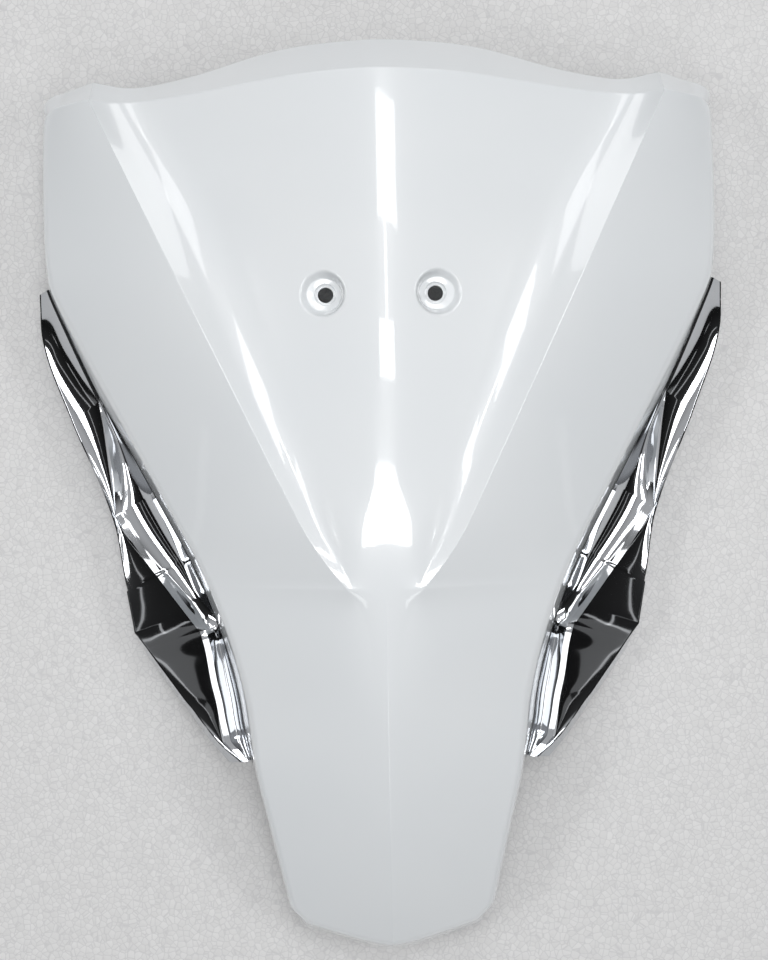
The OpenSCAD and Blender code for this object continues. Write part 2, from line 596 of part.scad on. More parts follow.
function garnish_base(y) =
    let (n = edge_normal(y), run = wall_run(y) + garnish_gap)
    [[edge_x(y) + n[0] * run, y + n[1] * run], n];
function garnish_row(y, shifted) =
    let (base = garnish_base(y), sec = garnish_section(y))
    [for (c = [0 : section_len - 1])
        let (p = sec[c] + (shifted ? back_shift(c) : [0, 0]))
            [base[0][0] + base[1][0] * p[0], base[0][1] + base[1][1] * p[0], p[1]]];
garnish_front = [for (y = garnish_levels) garnish_row(y, false)];
garnish_back = [for (y = garnish_levels) garnish_row(y, true)];
garnish_rows = len(garnish_levels);
garnish_points = concat([for (r = garnish_front) each r], [for (r = garnish_back) each r]);
function at_front(j, c) = j * section_len + c;
function at_back(j, c) = (garnish_rows + j) * section_len + c;
last_row = garnish_rows - 1;
last_col = section_len - 1;
garnish_faces = concat(
    [for (j = [0 : last_row - 1]) for (c = [0 : last_col - 1]) each
        quad(at_front(j, c), at_front(j, c + 1), at_front(j + 1, c + 1), at_front(j + 1, c))],
    [for (j = [0 : last_row - 1]) for (c = [0 : last_col - 1]) each
        quad(at_back(j, c + 1), at_back(j, c), at_back(j + 1, c), at_back(j + 1, c + 1))],
    [for (j = [0 : last_row - 1]) each
        quad(at_front(j + 1, 0), at_back(j + 1, 0), at_back(j, 0), at_front(j, 0))],
    [for (j = [0 : last_row - 1]) each
        quad(at_front(j, last_col), at_back(j, last_col), at_back(j + 1, last_col), at_front(j + 1, last_col))],
    [for (c = [0 : last_col - 1]) each quad(at_front(0, c + 1), at_front(0, c), at_back(0, c), at_back(0, c + 1))],
    [for (c = [0 : last_col - 1]) each
        quad(at_front(last_row, c), at_front(last_row, c + 1), at_back(last_row, c + 1), at_back(last_row, c))]
);

// screw points: [level on the flank, distance from the panel's wall, height of the tab's top]
post_points = [for (i = [0 : 2]) [post_levels[i], post_offsets[i], tab_tops[i]]];
post_spare = 1;

module at_post(p) {
    base = garnish_base(p[0]);
    n = base[1];
    translate([base[0][0] - n[0] * garnish_gap, base[0][1] - n[1] * garnish_gap, 0])
        rotate([0, 0, atan2(n[1], n[0])])
            children();
}

// everything under the middle of the face's skin, in a square round a point
patch_steps = 6;
module under_face(x, y, r, low) {
    n = patch_steps + 1;
    spot = function(i, j) [x + r * (2 * i / patch_steps - 1), y + r * (2 * j / patch_steps - 1)];
    top = [for (j = [0 : patch_steps]) for (i = [0 : patch_steps])
        let (q = spot(i, j)) [q[0], q[1], face_z(q[0], q[1]) - skin_t / 2]];
    low_points = [for (p = top) [p[0], p[1], low]];
    count = n * n;
    faces = concat(
        [for (j = [0 : patch_steps - 1]) for (i = [0 : patch_steps - 1]) each
            quad(j * n + i, (j + 1) * n + i, (j + 1) * n + i + 1, j * n + i + 1)],
        [for (j = [0 : patch_steps - 1]) for (i = [0 : patch_steps - 1]) each
            quad(count + j * n + i, count + j * n + i + 1, count + (j + 1) * n + i + 1, count + (j + 1) * n + i)],
        [for (i = [0 : patch_steps - 1]) each quad(i, i + 1, count + i + 1, count + i)],
        [for (i = [0 : patch_steps - 1]) let (a = patch_steps * n + i) each quad(a + 1, a, count + a, count + a + 1)],
        [for (j = [0 : patch_steps - 1]) let (a = j * n) each quad(a + n, a, count + a, count + a + n)],
        [for (j = [0 : patch_steps - 1]) let (a = j * n + patch_steps) each quad(a, a + n, count + a + n, count + a)]
    );
    polyhedron(concat(top, low_points), faces, 10);
}

module boss(x, y, d, low) {
    intersection() {
        translate([x, y, low])
            cylinder(h = peak_z - low, d = d);
        under_face(x, y, d / 2 + 1, low - 1);
    }
}

// a rib under the skin along a straight line, as deep as asked
rib_steps = 10;
module rib(a, b, depth) {
    side = unit([b[1] - a[1], a[0] - b[0]]) * rib_t / 2;
    line = [for (i = [0 : rib_steps]) mix(a, b, i / rib_steps)];
    tops = [for (p = line) face_z(p[0], p[1]) - skin_t / 2];
    ring = [for (i = [0 : rib_steps]) let (p = line[i], z = tops[i])
        [[p[0] + side[0], p[1] + side[1], z], [p[0] - side[0], p[1] - side[1], z],
            [p[0] - side[0], p[1] - side[1], z - depth], [p[0] + side[0], p[1] + side[1], z - depth]]];
    faces = concat(
        [[0, 3, 1], [1, 3, 2]],
        [for (i = [0 : rib_steps - 1]) for (e = [0 : 3]) let (f = (e + 1) % 4) each
            quad(4 * i + e, 4 * i + f, 4 * i + 4 + f, 4 * i + 4 + e)],
        [let (k = 4 * rib_steps) each [[k, k + 1, k + 3], [k + 1, k + 2, k + 3]]]
    );
    polyhedron([for (r = ring) each r], faces, 10);
}

// the tools that cut the number plate seats: hole, step, flat seat and leaning dish
module plate_seat_cut() {
    seat_r = plate_seat_d / 2;
    step_r = plate_step_d / 2;
    hole_r = plate_hole_d / 2;
    dish_h = 16;
    rotate_extrude()
        polygon([[0, -20], [hole_r, -20], [hole_r, -plate_step_depth], [step_r, -plate_step_depth],
            [step_r, 0], [seat_r, 0], [seat_r, 3], [0, 3]]);
    intersection() {
        rotate([0, plate_dish_lean, 0])
            translate([0, 0, -2])
                cylinder(h = dish_h, r1 = seat_r - 2 * tan(plate_flare), r2 = seat_r + (dish_h - 2) * tan(plate_flare));
        translate([-2 * seat_r, -2 * seat_r, 0])
            cube([4 * seat_r, 4 * seat_r, dish_h]);
    }
}

// a screw tab of the panel under the garnish, with its web up to the flank wall
module screw_tab(p) {
    out = p[1] + post_d / 2 + 1;
    web_top = seat_z(p[0]) - flank_lip * 0.45;
    gusset = 6;
    at_post(p) {
        translate([-wall_t + 0.2, -tab_w / 2, p[2] - tab_t])
            cube([wall_t - 0.5, tab_w, web_top - p[2] + tab_t]);
        difference() {
            translate([-wall_t + 0.2, -tab_w / 2, p[2] - tab_t])
                cube([out + wall_t, tab_w, tab_t]);
            translate([p[1], 0, p[2] - tab_t - 1])
                cylinder(h = tab_t + 2, d = screw_d + tab_clear);
        }
        for (y = [-tab_w / 2, tab_w / 2 - rib_t])
            translate([-1, y + rib_t, p[2] - 0.5])
                rotate([90, 0, 0])
                    linear_extrude(rib_t)
                        polygon([[0, 0], [gusset, 0], [0, gusset]]);
    }
}

module mirrored() {
    children();
    mirror([1, 0, 0])
        children();
}

module skin() {
    polyhedron(shell_points, shell_faces, 10);
}

rib_reach = 22;
module nose_panel() {
    plate_x = plate_pitch / 2;
    top_x = top_boss_pitch / 2;
    chin_x = chin_boss_pitch / 2;
    color("white")
        difference() {
            union() {
                skin();
                mirrored() {
                    boss(plate_x, plate_y, plate_boss_d, plate_seat_z - plate_boss_depth);
                    boss(top_x, top_boss_y, boss_d, top_boss_z);
                    boss(chin_x, chin_boss_y, boss_d, chin_boss_z);
                    rib([plate_x, plate_y - 2 * rib_reach], [plate_x, plate_y + 2 * rib_reach], rib_depth);
                    rib([top_x - rib_reach, top_boss_y], [top_x + rib_reach, top_boss_y], rib_depth);
                    rib([top_x, top_boss_y - rib_reach], [top_x, top_boss_y + 12], rib_depth);
                    rib([chin_x, chin_boss_y - rib_reach], [chin_x, chin_boss_y + rib_reach], rib_depth);
                    for (p = post_points)
                        screw_tab(p);
                }
                rib([-plate_x - rib_reach, plate_y], [plate_x + rib_reach, plate_y], rib_depth);
                rib([-chin_x - 8, chin_boss_y], [chin_x + 8, chin_boss_y], rib_depth);
            }
            mirrored() {
                translate([plate_x, plate_y, plate_seat_z])
                    plate_seat_cut();
                translate([top_x, top_boss_y, top_boss_z - 1])
                    cylinder(h = boss_bore_depth + 1, d = boss_bore_d);
                translate([chin_x, chin_boss_y, chin_boss_z - 1])
                    cylinder(h = boss_bore_depth + 1, d = boss_bore_d);
            }
        }
}

// everything behind the middle of the garnish's skin, between two of its rows
function row_near(y) = [for (j = [0 : last_row]) if (garnish_levels[j] < y) j][0];
module behind_garnish(y, half) {
    first = max(0, row_near(y) - half);
    last = min(last_row, row_near(y) + half - 1);
    n = last - first + 1;
    m = section_len - 1;
    mids = [for (j = [first : last]) [for (c = [0 : m - 1]) (garnish_front[j][c] + garnish_back[j][c]) / 2]];
    top = [for (r = mids) each r];
    low_points = [for (p = top) [p[0], p[1], -2]];
    count = n * m;
    faces = concat(
        [for (j = [0 : n - 2]) for (c = [0 : m - 2]) each
            quad(j * m + c, j * m + c + 1, (j + 1) * m + c + 1, (j + 1) * m + c)],
        [for (j = [0 : n - 2]) for (c = [0 : m - 2]) each
            quad(count + j * m + c + 1, count + j * m + c, count + (j + 1) * m + c, count + (j + 1) * m + c + 1)],
        [for (c = [0 : m - 2]) each quad(c + 1, c, count + c, count + c + 1)],
        [for (c = [0 : m - 2]) let (a = (n - 1) * m + c) each quad(a, a + 1, count + a + 1, count + a)],
        [for (j = [0 : n - 2]) let (a = j * m) each quad(a, a + m, count + a + m, count + a)],
        [for (j = [0 : n - 2]) let (a = j * m + m - 1) each quad(a + m, a, count + a, count + a + m)]
    );
    polyhedron(concat(top, low_points), faces, 10);
}

module garnish() {
    color("silver")
        difference() {
            union() {
                polyhedron(garnish_points, garnish_faces, 10);
                for (p = post_points)
                    intersection() {
                        at_post(p)
                            translate([p[1], 0, p[2]])
                                cylinder(h = 40, d = post_d);
                        behind_garnish(p[0], 3);
                    }
            }
            for (p = post_points)
                at_post(p)
                    translate([p[1], 0, p[2] - 1])
                        cylinder(h = screw_l - tab_t + post_spare + 1, d = post_bore_d);
        }
}

module garnish_right() {
    garnish();
}

module garnish_left() {
    mirror([1, 0, 0])
        garnish();
}

// self-tapping screw with a pan head and a cross recess, its head down
module garnish_screw(p) {
    head_r = screw_head_d / 2;
    recess_w = 1.1;
    recess_l = 4.6;
    recess_depth = 1.8;
    color("gainsboro")
        at_post(p)
            translate([p[1], 0, p[2] - tab_t])
                difference() {
                    rotate_extrude()
                        polygon([[0, -screw_head_h], [head_r * 0.62, -screw_head_h],
                            [head_r * 0.9, -screw_head_h * 0.72], [head_r, -screw_head_h * 0.3], [head_r, 0],
                            [screw_d / 2, 0], [screw_d / 2, screw_l - 1.5], [screw_d * 0.2, screw_l], [0, screw_l]]);
                    for (a = [0, 90])
                        rotate([0, 0, a])
                            translate([-recess_l / 2, -recess_w / 2, -screw_head_h - 1])
                                cube([recess_l, recess_w, recess_depth + 1]);
                }
}

nose_panel();
garnish_left();
garnish_right();
for (i = [0 : 2]) {
    garnish_screw(post_points[i]);
    mirror([1, 0, 0]) garnish_screw(post_points[i]);
}
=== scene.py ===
import math
import bpy
import numpy as np
from mathutils import Matrix, Vector


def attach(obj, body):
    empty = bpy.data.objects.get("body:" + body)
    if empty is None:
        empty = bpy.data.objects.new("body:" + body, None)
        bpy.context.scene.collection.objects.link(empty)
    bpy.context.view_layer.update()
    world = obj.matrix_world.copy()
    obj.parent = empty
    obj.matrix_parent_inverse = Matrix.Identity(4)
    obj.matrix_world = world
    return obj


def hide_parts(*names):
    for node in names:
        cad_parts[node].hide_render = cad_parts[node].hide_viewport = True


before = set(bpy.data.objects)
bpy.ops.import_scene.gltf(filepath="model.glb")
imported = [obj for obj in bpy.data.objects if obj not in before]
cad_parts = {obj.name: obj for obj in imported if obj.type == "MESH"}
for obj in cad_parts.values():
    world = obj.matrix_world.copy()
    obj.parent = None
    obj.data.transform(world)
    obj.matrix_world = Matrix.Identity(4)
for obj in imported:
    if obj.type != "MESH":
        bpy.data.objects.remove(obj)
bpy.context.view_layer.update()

print("frame loaded:", len(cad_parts), "nodes")

# Everything is worked out in millimetres, as on the maker's drawing, and turned to metres in makeMesh.
# x is the distance from the part's middle line, y runs up it from chin to crest, z is the height over
# the floor.


def linearColour(hexCode):
    # sRGB hex to linear: c/12.92 up to 0.04045, above it ((c + 0.055)/1.055) to the power 2.4
    c = np.array([int(hexCode[i:i + 2], 16) for i in (1, 3, 5)]) / 255
    lin = np.where(c <= 0.04045, c / 12.92, ((c + 0.055) / 1.055) ** 2.4)
    return (*[float(v) for v in lin], 1.0)


def addNode(tree, kind, settings=None, links=None):
    # one node with its settings; a key that names an input sets its value, links maps inputs to outputs
    node = tree.nodes.new(kind)
    for key, value in (settings or {}).items():
        if key in node.inputs:
            node.inputs[key].default_value = value
        else:
            setattr(node, key, value)
    for key, source in (links or {}).items():
        tree.links.new(source, node.inputs[key])
    return node


def makeMesh(name, points, quads, material, sharpAngle=180):
    # points in mm as rows of x, y, z; quads as rows of four point numbers
    mesh = bpy.data.meshes.new(name)
    points = np.asarray(points, dtype=np.float32) * 0.001
    quads = np.asarray(quads, dtype=np.int32)
    mesh.vertices.add(len(points))
    mesh.vertices.foreach_set("co", points.ravel())
    mesh.loops.add(quads.size)
    mesh.loops.foreach_set("vertex_index", quads.ravel())
    mesh.polygons.add(len(quads))
    mesh.polygons.foreach_set("loop_start", np.arange(0, quads.size, 4, dtype=np.int32))
    mesh.update(calc_edges=True)
    mesh.validate()
    mesh.polygons.foreach_set("use_smooth", np.ones(len(mesh.polygons), dtype=bool))
    if sharpAngle < 180:
        mesh.set_sharp_from_angle(angle=math.radians(sharpAngle))
    mesh.materials.append(material)
    piece = bpy.data.objects.new(name, mesh)
    bpy.context.scene.collection.objects.link(piece)
    return piece


def mix(a, b, t):
    # the value that lies a share t of the way from a to b
    return a + (b - a) * t


def clamp01(t):
    # t, held between 0 and 1
    return np.clip(t, 0.0, 1.0)


def ease(t):
    # 3t^2 - 2t^3, held between 0 and 1
    c = clamp01(t)
    return c * c * (3 - 2 * c)


def between(a, b, y):
    # 0 at level a and 1 at level b, with an eased change
    return ease((y - a) / (b - a))


def softMin(a, b, k):
    # the lesser of two values, with the corner between them rounded over about k
    return (a + b - np.sqrt((a - b) ** 2 + k * k)) / 2


def softMax(a, b, k):
    # the greater of two values, with the corner rounded in the same way
    return (a + b + np.sqrt((a - b) ** 2 + k * k)) / 2


def fillMax(a, b, k):
    # the greater of two values, with the corner filled where they differ by less than k
    return np.maximum(a, b) + np.maximum(0, k - np.abs(a - b)) ** 2 / (4 * k)


def arcDrop(d, r):
    # how far a circle of radius r has fallen at distance d from its top
    return r - np.sqrt(r * r - d * d)


def through(stations, y):
    # cubic Hermite curve through [level, value] stations; its slope at a station is the mean of both sides
    p = np.array(stations, dtype=float)
    levels, values = p[:, 0], p[:, 1]
    y = np.asarray(y, dtype=float)
    i = np.clip(np.searchsorted(levels, y, side="left") - 1, 0, len(levels) - 2)
    secant = np.diff(values) / np.diff(levels)
    lean = np.concatenate([secant[:1], (secant[:-1] + secant[1:]) / 2, secant[-1:]])
    h = levels[i + 1] - levels[i]
    t = clamp01((y - levels[i]) / h)
    return ((2 * t ** 3 - 3 * t ** 2 + 1) * values[i] + (t ** 3 - 2 * t ** 2 + t) * lean[i] * h
            + (3 * t ** 2 - 2 * t ** 3) * values[i + 1] + (t ** 3 - t ** 2) * lean[i + 1] * h)


def curve3(a, b, c, t):
    # quadratic Bezier from a to c, pulled towards b: a(1-t)^2 + 2bt(1-t) + ct^2
    return a * (1 - t) ** 2 + b * 2 * t * (1 - t) + c * t * t


def unitRows(v):
    # each row divided by its own length
    return v / np.linalg.norm(v, axis=-1, keepdims=True)


def crossing(p, d, q, e):
    # where the line from p along d meets the line from q along e, row by row
    den = d[:, 0] * e[:, 1] - d[:, 1] * e[:, 0]
    w = q - p
    return p + d * ((w[:, 0] * e[:, 1] - w[:, 1] * e[:, 0]) / den)[:, None]


def gridQuads(index, flip=False):
    # quads of a grid of point numbers, facing the way that rows x columns turn
    a, b, c, d = index[:-1, :-1], index[1:, :-1], index[1:, 1:], index[:-1, 1:]
    order = (a, d, c, b) if flip else (a, b, c, d)
    return np.stack([v.ravel() for v in order], axis=1)


# The white panel. A W is a whole width, a Y a level, a Z a height and an R a radius; angles are in degrees.
panel = {
    "outline": {
        "crestY": 239.2, "crestSideY": 231.3, "crestBumpW": 85, "shoulderW": 389, "shoulderLowY": 133.5,
        "shoulderBowY": 165, "shoulderBowR": 1500, "shoulderRound": 6, "flankLean": 28.8, "kneeY": -24,
        "hipY": -64, "hipW": 182, "waistY": -106, "waistW": 160, "neckY": -150, "neckW": 150.5,
        "jawY": -183, "jawW": 137.5, "chinY": -241, "chinW": 116, "chinTipY": -254.9, "chinRound": 12,
        "cornerR": 9, "gridCornerIn": 2, "kneeLead": 30, "tipLead": 20, "tipLeadIn": 5,
    },
    "heights": {
        "peakZ": 100.5, "peakY": 5, "crownR": 3200, "noseR": 560, "shoulderZ": 42, "shoulderSoft": 3,
        "flankRise": 0.137, "hipZ": 66, "hipLead": 14, "hipSoft": 4, "jawR": 500, "wingBow": 1.5,
        "wingBowReach": 70,
    },
    "scoop": {
        "veeY": -43, "veeBlend": 9, "topW": 321, "topGap": 2, "lean": 25.9, "bendY": -5, "bendR": 95,
        "creaseZ": 97.8, "creaseR": 1150, "width": 29, "widthPower": 0.42, "pinch": 0.4, "pinchBelow": 65,
        "pinchAbove": 6, "depth": 12, "depthPower": 0.75, "depthStart": 0.1, "fill": 1.25, "ridgeSoft": 10,
        "ridgeCrown": 0.25, "flatPower": 3.4, "flatFromY": 30, "flatToY": -25,
        "noseBend": 1.5, "noseSoft": 0.9, "noseDraw": 0.65, "noseDrawReach": 15,
    },
    "walls": {
        "skinT": 2.8, "wallT": 2.6, "innerSideIn": 1.6, "innerTopIn": 2, "innerLowIn": 1.2,
        "edgeR": 3.6, "topIn": 0.7, "lowIn": 2.8, "bandAngle": 47, "bandMidW": 23, "bandSideW": 10.5,
        "bandBumpW": 88, "bandEar": 3, "bandEarW": 13, "bandLipRun": 0.4, "bandLip": 7,
        "shoulderRun": 1.2, "shoulderH": 14, "flankGap": 1.5, "flankBlend": 9, "flankRun": 6.6,
        "flankH": 23, "flankLip": 9, "sideRun": 1.4, "sideH": 4, "chinRun": 3.6, "chinTipRun": 7.4,
        "chinH": 21, "chinLip": 3, "cornerSlack": 0.4, "flankFullY": 30, "runFullY": 60, "tailY": -147,
        # the walls change at the tail over so many mm above and below it
        "tailHeight": (20, 12), "tailRun": (30, 5), "tailLip": (10, 8),
        # shares of the wall's direction, seen from above, at which the top band and the chin begin and end
        "bandFacing": (0.25, 0.9), "chinFacing": (0.62, 0.92),
    },
    "grid": {
        "ridgeCells": 38, "ridgePower": 1.3, "shelfCells": 12, "wingCells": 24, "noseShelfW": 4.5,
        "noseShelfGrowth": 30, "noseShelfMaxW": 10, "rowCount": 220, "rowPitch": 2.4, "veeCrowd": 0.7,
        "veeReach": 9, "endCrowd": 1.5, "endReach": 4, "archFromY": 60, "archPower": 1.5,
        "chinFromY": -165, "fineSteps": 4000,
    },
    "seats": {
        "pitch": 60, "y": 117, "holeD": 8.4, "stepD": 11.7, "seatD": 17.5, "stepDepth": 1.4, "seatZ": 87,
        "bossDepth": 6, "flare": 30, "lean": 13, "bossD": 27, "window": 17.5, "rimRound": 1.1,
        "dishSoft": 0.6, "rimFall": 1.2, "footRound": 0.5, "edgeRound": 0.35, "edgeBevel": 0.1,
        "bossRound": 0.4,
    },
}
outline, heights, scoop, walls, gridSizes, seats = panel.values()
flankTop = outline["shoulderLowY"] - walls["flankGap"]
tanLean = math.tan(math.radians(outline["flankLean"]))
tanCrease = math.tan(math.radians(scoop["lean"]))


def upperEdge(y):
    # a shallow bow down the shoulder, then a straight flank, their corner rounded
    o = outline
    shoulder = o["shoulderW"] / 2 - (y - o["shoulderBowY"]) ** 2 / (2 * o["shoulderBowR"])
    flank = o["shoulderW"] / 2 - (o["shoulderLowY"] - y) * tanLean
    return softMin(shoulder, flank, o["shoulderRound"])


def edgeX(y):
    # half width of the face: the upper edge down to the knee, then a curve through the hip, waist and jaw;
    # the station below the chin's tip and the one above the knee lead the curve on at its ends
    o = outline
    aboveKnee = o["kneeY"] + o["kneeLead"]
    stations = [[o["chinTipY"] - o["tipLead"], o["chinW"] / 2 - o["tipLeadIn"]], [o["chinY"], o["chinW"] / 2],
                [o["jawY"], o["jawW"] / 2], [o["neckY"], o["neckW"] / 2], [o["waistY"], o["waistW"] / 2],
                [o["hipY"], o["hipW"] / 2], [o["kneeY"], float(upperEdge(o["kneeY"]))],
                [aboveKnee, float(upperEdge(aboveKnee))]]
    return np.where(y > o["kneeY"], upperEdge(y), through(stations, y))


def crestLine(x):
    # level of the top edge: a hump over the middle that dies away as 1 / (1 + (x / width)^4)
    o = outline
    return o["crestSideY"] + (o["crestY"] - o["crestSideY"]) / (1 + (np.abs(x) / o["crestBumpW"]) ** 4)


def chinLine(x):
    # level of the lower edge, a shallow V with a rounded tip: slope times (root(x^2 + r^2) - r)
    o = outline
    r = o["chinRound"]
    slope = (o["chinY"] - o["chinTipY"]) / (math.hypot(o["chinW"] / 2, r) - r)
    return o["chinTipY"] + slope * (np.sqrt(x * x + r * r) - r)


def ridgeZ(y):
    # height of the middle line: one circle above the peak, a tighter one below it
    h = heights
    d = y - h["peakY"]
    return h["peakZ"] - arcDrop(d, np.where(d > 0, h["crownR"], h["noseR"]))


def edgeZ(y):
    # height of the face's edge: level at the shoulder, rising down the flank, then falling on a circle
    h = heights
    rise = h["flankRise"] * (outline["shoulderLowY"] - y)
    flank = softMax(h["shoulderZ"], h["shoulderZ"] + rise, h["shoulderSoft"])
    belowHip = np.minimum(0, y - (outline["hipY"] + h["hipLead"]))
    return softMin(flank, h["hipZ"] - arcDrop(belowHip, h["jawR"]), h["hipSoft"])


def scoopShare(y):
    # 0 at the bottom of the V, 1 at the top crest; never quite 0, so that it can be divided by
    return np.maximum(0.0008, (y - scoop["veeY"]) / (outline["crestY"] - scoop["veeY"]))


def creaseX(y):
    # the crease's distance from the middle: a straight line that bends inwards on a parabola near the V
    s = scoop
    bend = np.where(y < s["bendY"], (s["bendY"] - y) ** 2 / (2 * s["bendR"]), 0)
    return s["topW"] / 2 - (outline["crestSideY"] - s["topGap"] - y) * tanCrease - bend


def shelfW(y):
    # width of the sloping wall inside the crease: a power of the scoop's share, pinched near the crest
    s, top = scoop, outline["crestSideY"]
    pinched = 1 - s["pinch"] * between(top - s["pinchBelow"], top + s["pinchAbove"], y)
    return s["width"] * scoopShare(y) ** s["widthPower"] * pinched


def scoopFace(x, y):
    # outside the crease a wing with a slight crown, inside it a sloping wall, a valley and the soft ridge
    s = scoop
    xc, xe = creaseX(y), edgeX(y)
    zc = s["creaseZ"] - arcDrop(np.maximum(0, y - s["veeY"]), s["creaseR"])
    t = (x - xc) / (xe - xc)
    wing = mix(zc, edgeZ(y), t) + heights["wingBow"] * 4 * t * (1 - t)
    share, w, soft = scoopShare(y), shelfW(y), s["ridgeSoft"]
    d = s["depth"] * share ** s["depthPower"] * ease(share / s["depthStart"])
    v = xc - w
    fall = (s["ridgeCrown"] * x * x / (v * v) + (1 - s["ridgeCrown"])
            * (np.hypot(x, soft) - soft) / (np.hypot(v, soft) - soft))
    fall = mix(fall, (x / v) ** s["flatPower"], between(s["flatFromY"], s["flatToY"], y))
    inside = fillMax(mix(ridgeZ(y), zc - d, fall), zc - d * (xc - x) / w, np.maximum(0.05, s["fill"] * d))
    return np.where(x >= xc, wing, inside)


def noseFace(x, y):
    # below the V: a flat middle and falling sides, joined by a bend that softens downwards
    c = scoop
    s = np.maximum(0, c["veeY"] - y)
    k = c["noseBend"] + c["noseSoft"] * s
    xe = edgeX(y)
    xk = float(creaseX(np.float64(c["veeY"]))) * (1 - c["noseDraw"] * (1 - np.exp(-s / c["noseDrawReach"])))
    bend = lambda v: (v + np.sqrt(v * v + k * k)) / 2
    t = clamp01((x - xk) / (xe - xk))
    return (mix(ridgeZ(y), edgeZ(y), (bend(x - xk) - bend(-xk)) / (bend(xe - xk) - bend(-xk)))
            + heights["wingBow"] * 4 * t * (1 - t) * (1 - ease(s / heights["wingBowReach"])))


def faceZ(x, y):
    # height of the face's outer side: the nose and the scoop, mixed over a short way round the V
    x = np.abs(x)
    t = between(scoop["veeY"] - scoop["veeBlend"], scoop["veeY"] + scoop["veeBlend"], y)
    return mix(noseFace(x, y), scoopFace(x, y), t)


def columnShares():
    # interval number and share within it: middle to valley, valley to crease, crease to edge;
    # the shares crowd together as a power in the first and as a cosine in the others
    g = gridSizes
    a = np.linspace(0, 1, g["ridgeCells"] + 1)[:-1] ** g["ridgePower"]
    b = (1 - np.cos(np.pi * np.linspace(0, 1, g["shelfCells"] + 1)[:-1])) / 2
    c = (1 - np.cos(np.pi * np.linspace(0, 1, g["wingCells"] + 1))) / 2
    part = np.concatenate([np.zeros(len(a)), np.ones(len(b)), np.full(len(c), 2)])
    return part, np.concatenate([a, b, c])


def columnsAt(y, xe):
    # x of every column at levels y, for a half width xe: below the V the crease's column runs on
    # towards xe / 2, which it reaches at the chin
    part, share = columnShares()
    g, veeY = gridSizes, scoop["veeY"]
    s = np.maximum(0, veeY - y)
    down = clamp01(s / (veeY - outline["chinTipY"]))
    xc = np.where(y > veeY, creaseX(y), mix(creaseX(np.full_like(y, veeY)), xe / 2, down))
    noseShelf = np.minimum(g["noseShelfW"] + s / g["noseShelfGrowth"], g["noseShelfMaxW"])
    xv = xc - np.maximum(shelfW(y), noseShelf)
    return np.where(part == 0, share * xv, np.where(part == 1, mix(xv, xc, share), mix(xc, xe, share)))


def rowLevels():
    # levels on the middle line: even shares of a density that is summed up along the line, and that is
    # higher at both ends and round the bottom of the V
    o, g = outline, gridSizes
    y = np.linspace(o["crestY"], o["chinTipY"], g["fineSteps"])
    density = (1 / g["rowPitch"] + g["veeCrowd"] * np.exp(-((y - scoop["veeY"]) / g["veeReach"]) ** 2)
               + g["endCrowd"] * np.exp(-(o["crestY"] - y) / g["endReach"])
               + g["endCrowd"] * np.exp(-(y - o["chinTipY"]) / g["endReach"]))
    total = np.concatenate([[0], np.cumsum((density[1:] + density[:-1]) / 2)])
    return np.interp(np.linspace(0, total[-1], g["rowCount"] + 1), total, y)


def rowY(y0, x, topIn, lowIn):
    # a row bends towards the arched crest at the top and the V of the chin at the bottom
    o, g = outline, gridSizes
    a = clamp01((y0 - g["archFromY"]) / (o["crestY"] - g["archFromY"])) ** g["archPower"]
    b = clamp01((g["chinFromY"] - y0) / (g["chinFromY"] - o["chinTipY"]))
    return y0 + a * (crestLine(x) - topIn - o["crestY"]) + b * (chinLine(x) + lowIn - o["chinTipY"])


def roundIn(x, y, xe, yt, yb, r):
    # square corners of the grid drawn in to round ones: each share times the root of 1 - other^2 / 2
    p, qt, qb = clamp01((x - (xe - r)) / r), clamp01((y - (yt - r)) / r), clamp01((yb + r - y) / r)
    q = np.maximum(qt, qb)
    inCorner = (p > 0) & (q > 0)
    nx = xe - r + r * p * np.sqrt(1 - q * q / 2)
    rise = r * q * np.sqrt(1 - p * p / 2)
    ny = np.where(qt > 0, yt - r + rise, yb + r - rise)
    return np.where(inCorner, nx, x), np.where(inCorner, ny, y)


def faceGrid(sideIn, topIn, lowIn, drop):
    # columns and rows bend each other, so they are worked out in turn until each point has settled, then the
    # right half is mirrored; the insets and the drop make the skin's inner side from the same formulas
    passes = 3
    y0 = rowLevels()[:, None] * np.ones((1, len(columnShares()[0])))
    y = y0
    for _ in range(passes):
        x = columnsAt(y, edgeX(y) - sideIn)
        last = y
        y = rowY(y0, x, topIn, lowIn)
    x, y = roundIn(x, last, edgeX(last) - sideIn, crestLine(x) - topIn, chinLine(x) + lowIn,
                   outline["cornerR"] - outline["gridCornerIn"])
    z = faceZ(x, y) - drop
    right = np.stack([x, y, z], axis=2)
    left = right[:, :0:-1] * np.array([-1, 1, 1])
    return np.concatenate([left, right], axis=1)


def pastTail(reach, y):
    # 0 above the garnish's tail and 1 below it, over reach's two distances from its level
    return between(walls["tailY"] + reach[0], walls["tailY"] - reach[1], y)


def wallHeight(y):
    # height of the panel's side wall: low at the shoulder, full along the flank, less beside the chin
    w = walls
    flank = mix(w["sideH"], w["flankH"], between(flankTop, w["flankFullY"], y))
    return mix(flank, w["chinH"], pastTail(w["tailHeight"], y))


def wallRun(y):
    # how far the side wall's foot stands out from the face's edge, in the same three stretches
    w = walls
    flank = mix(w["sideRun"], w["flankRun"], between(flankTop, w["runFullY"], y))
    return mix(flank, w["chinRun"], pastTail(w["tailRun"], y))


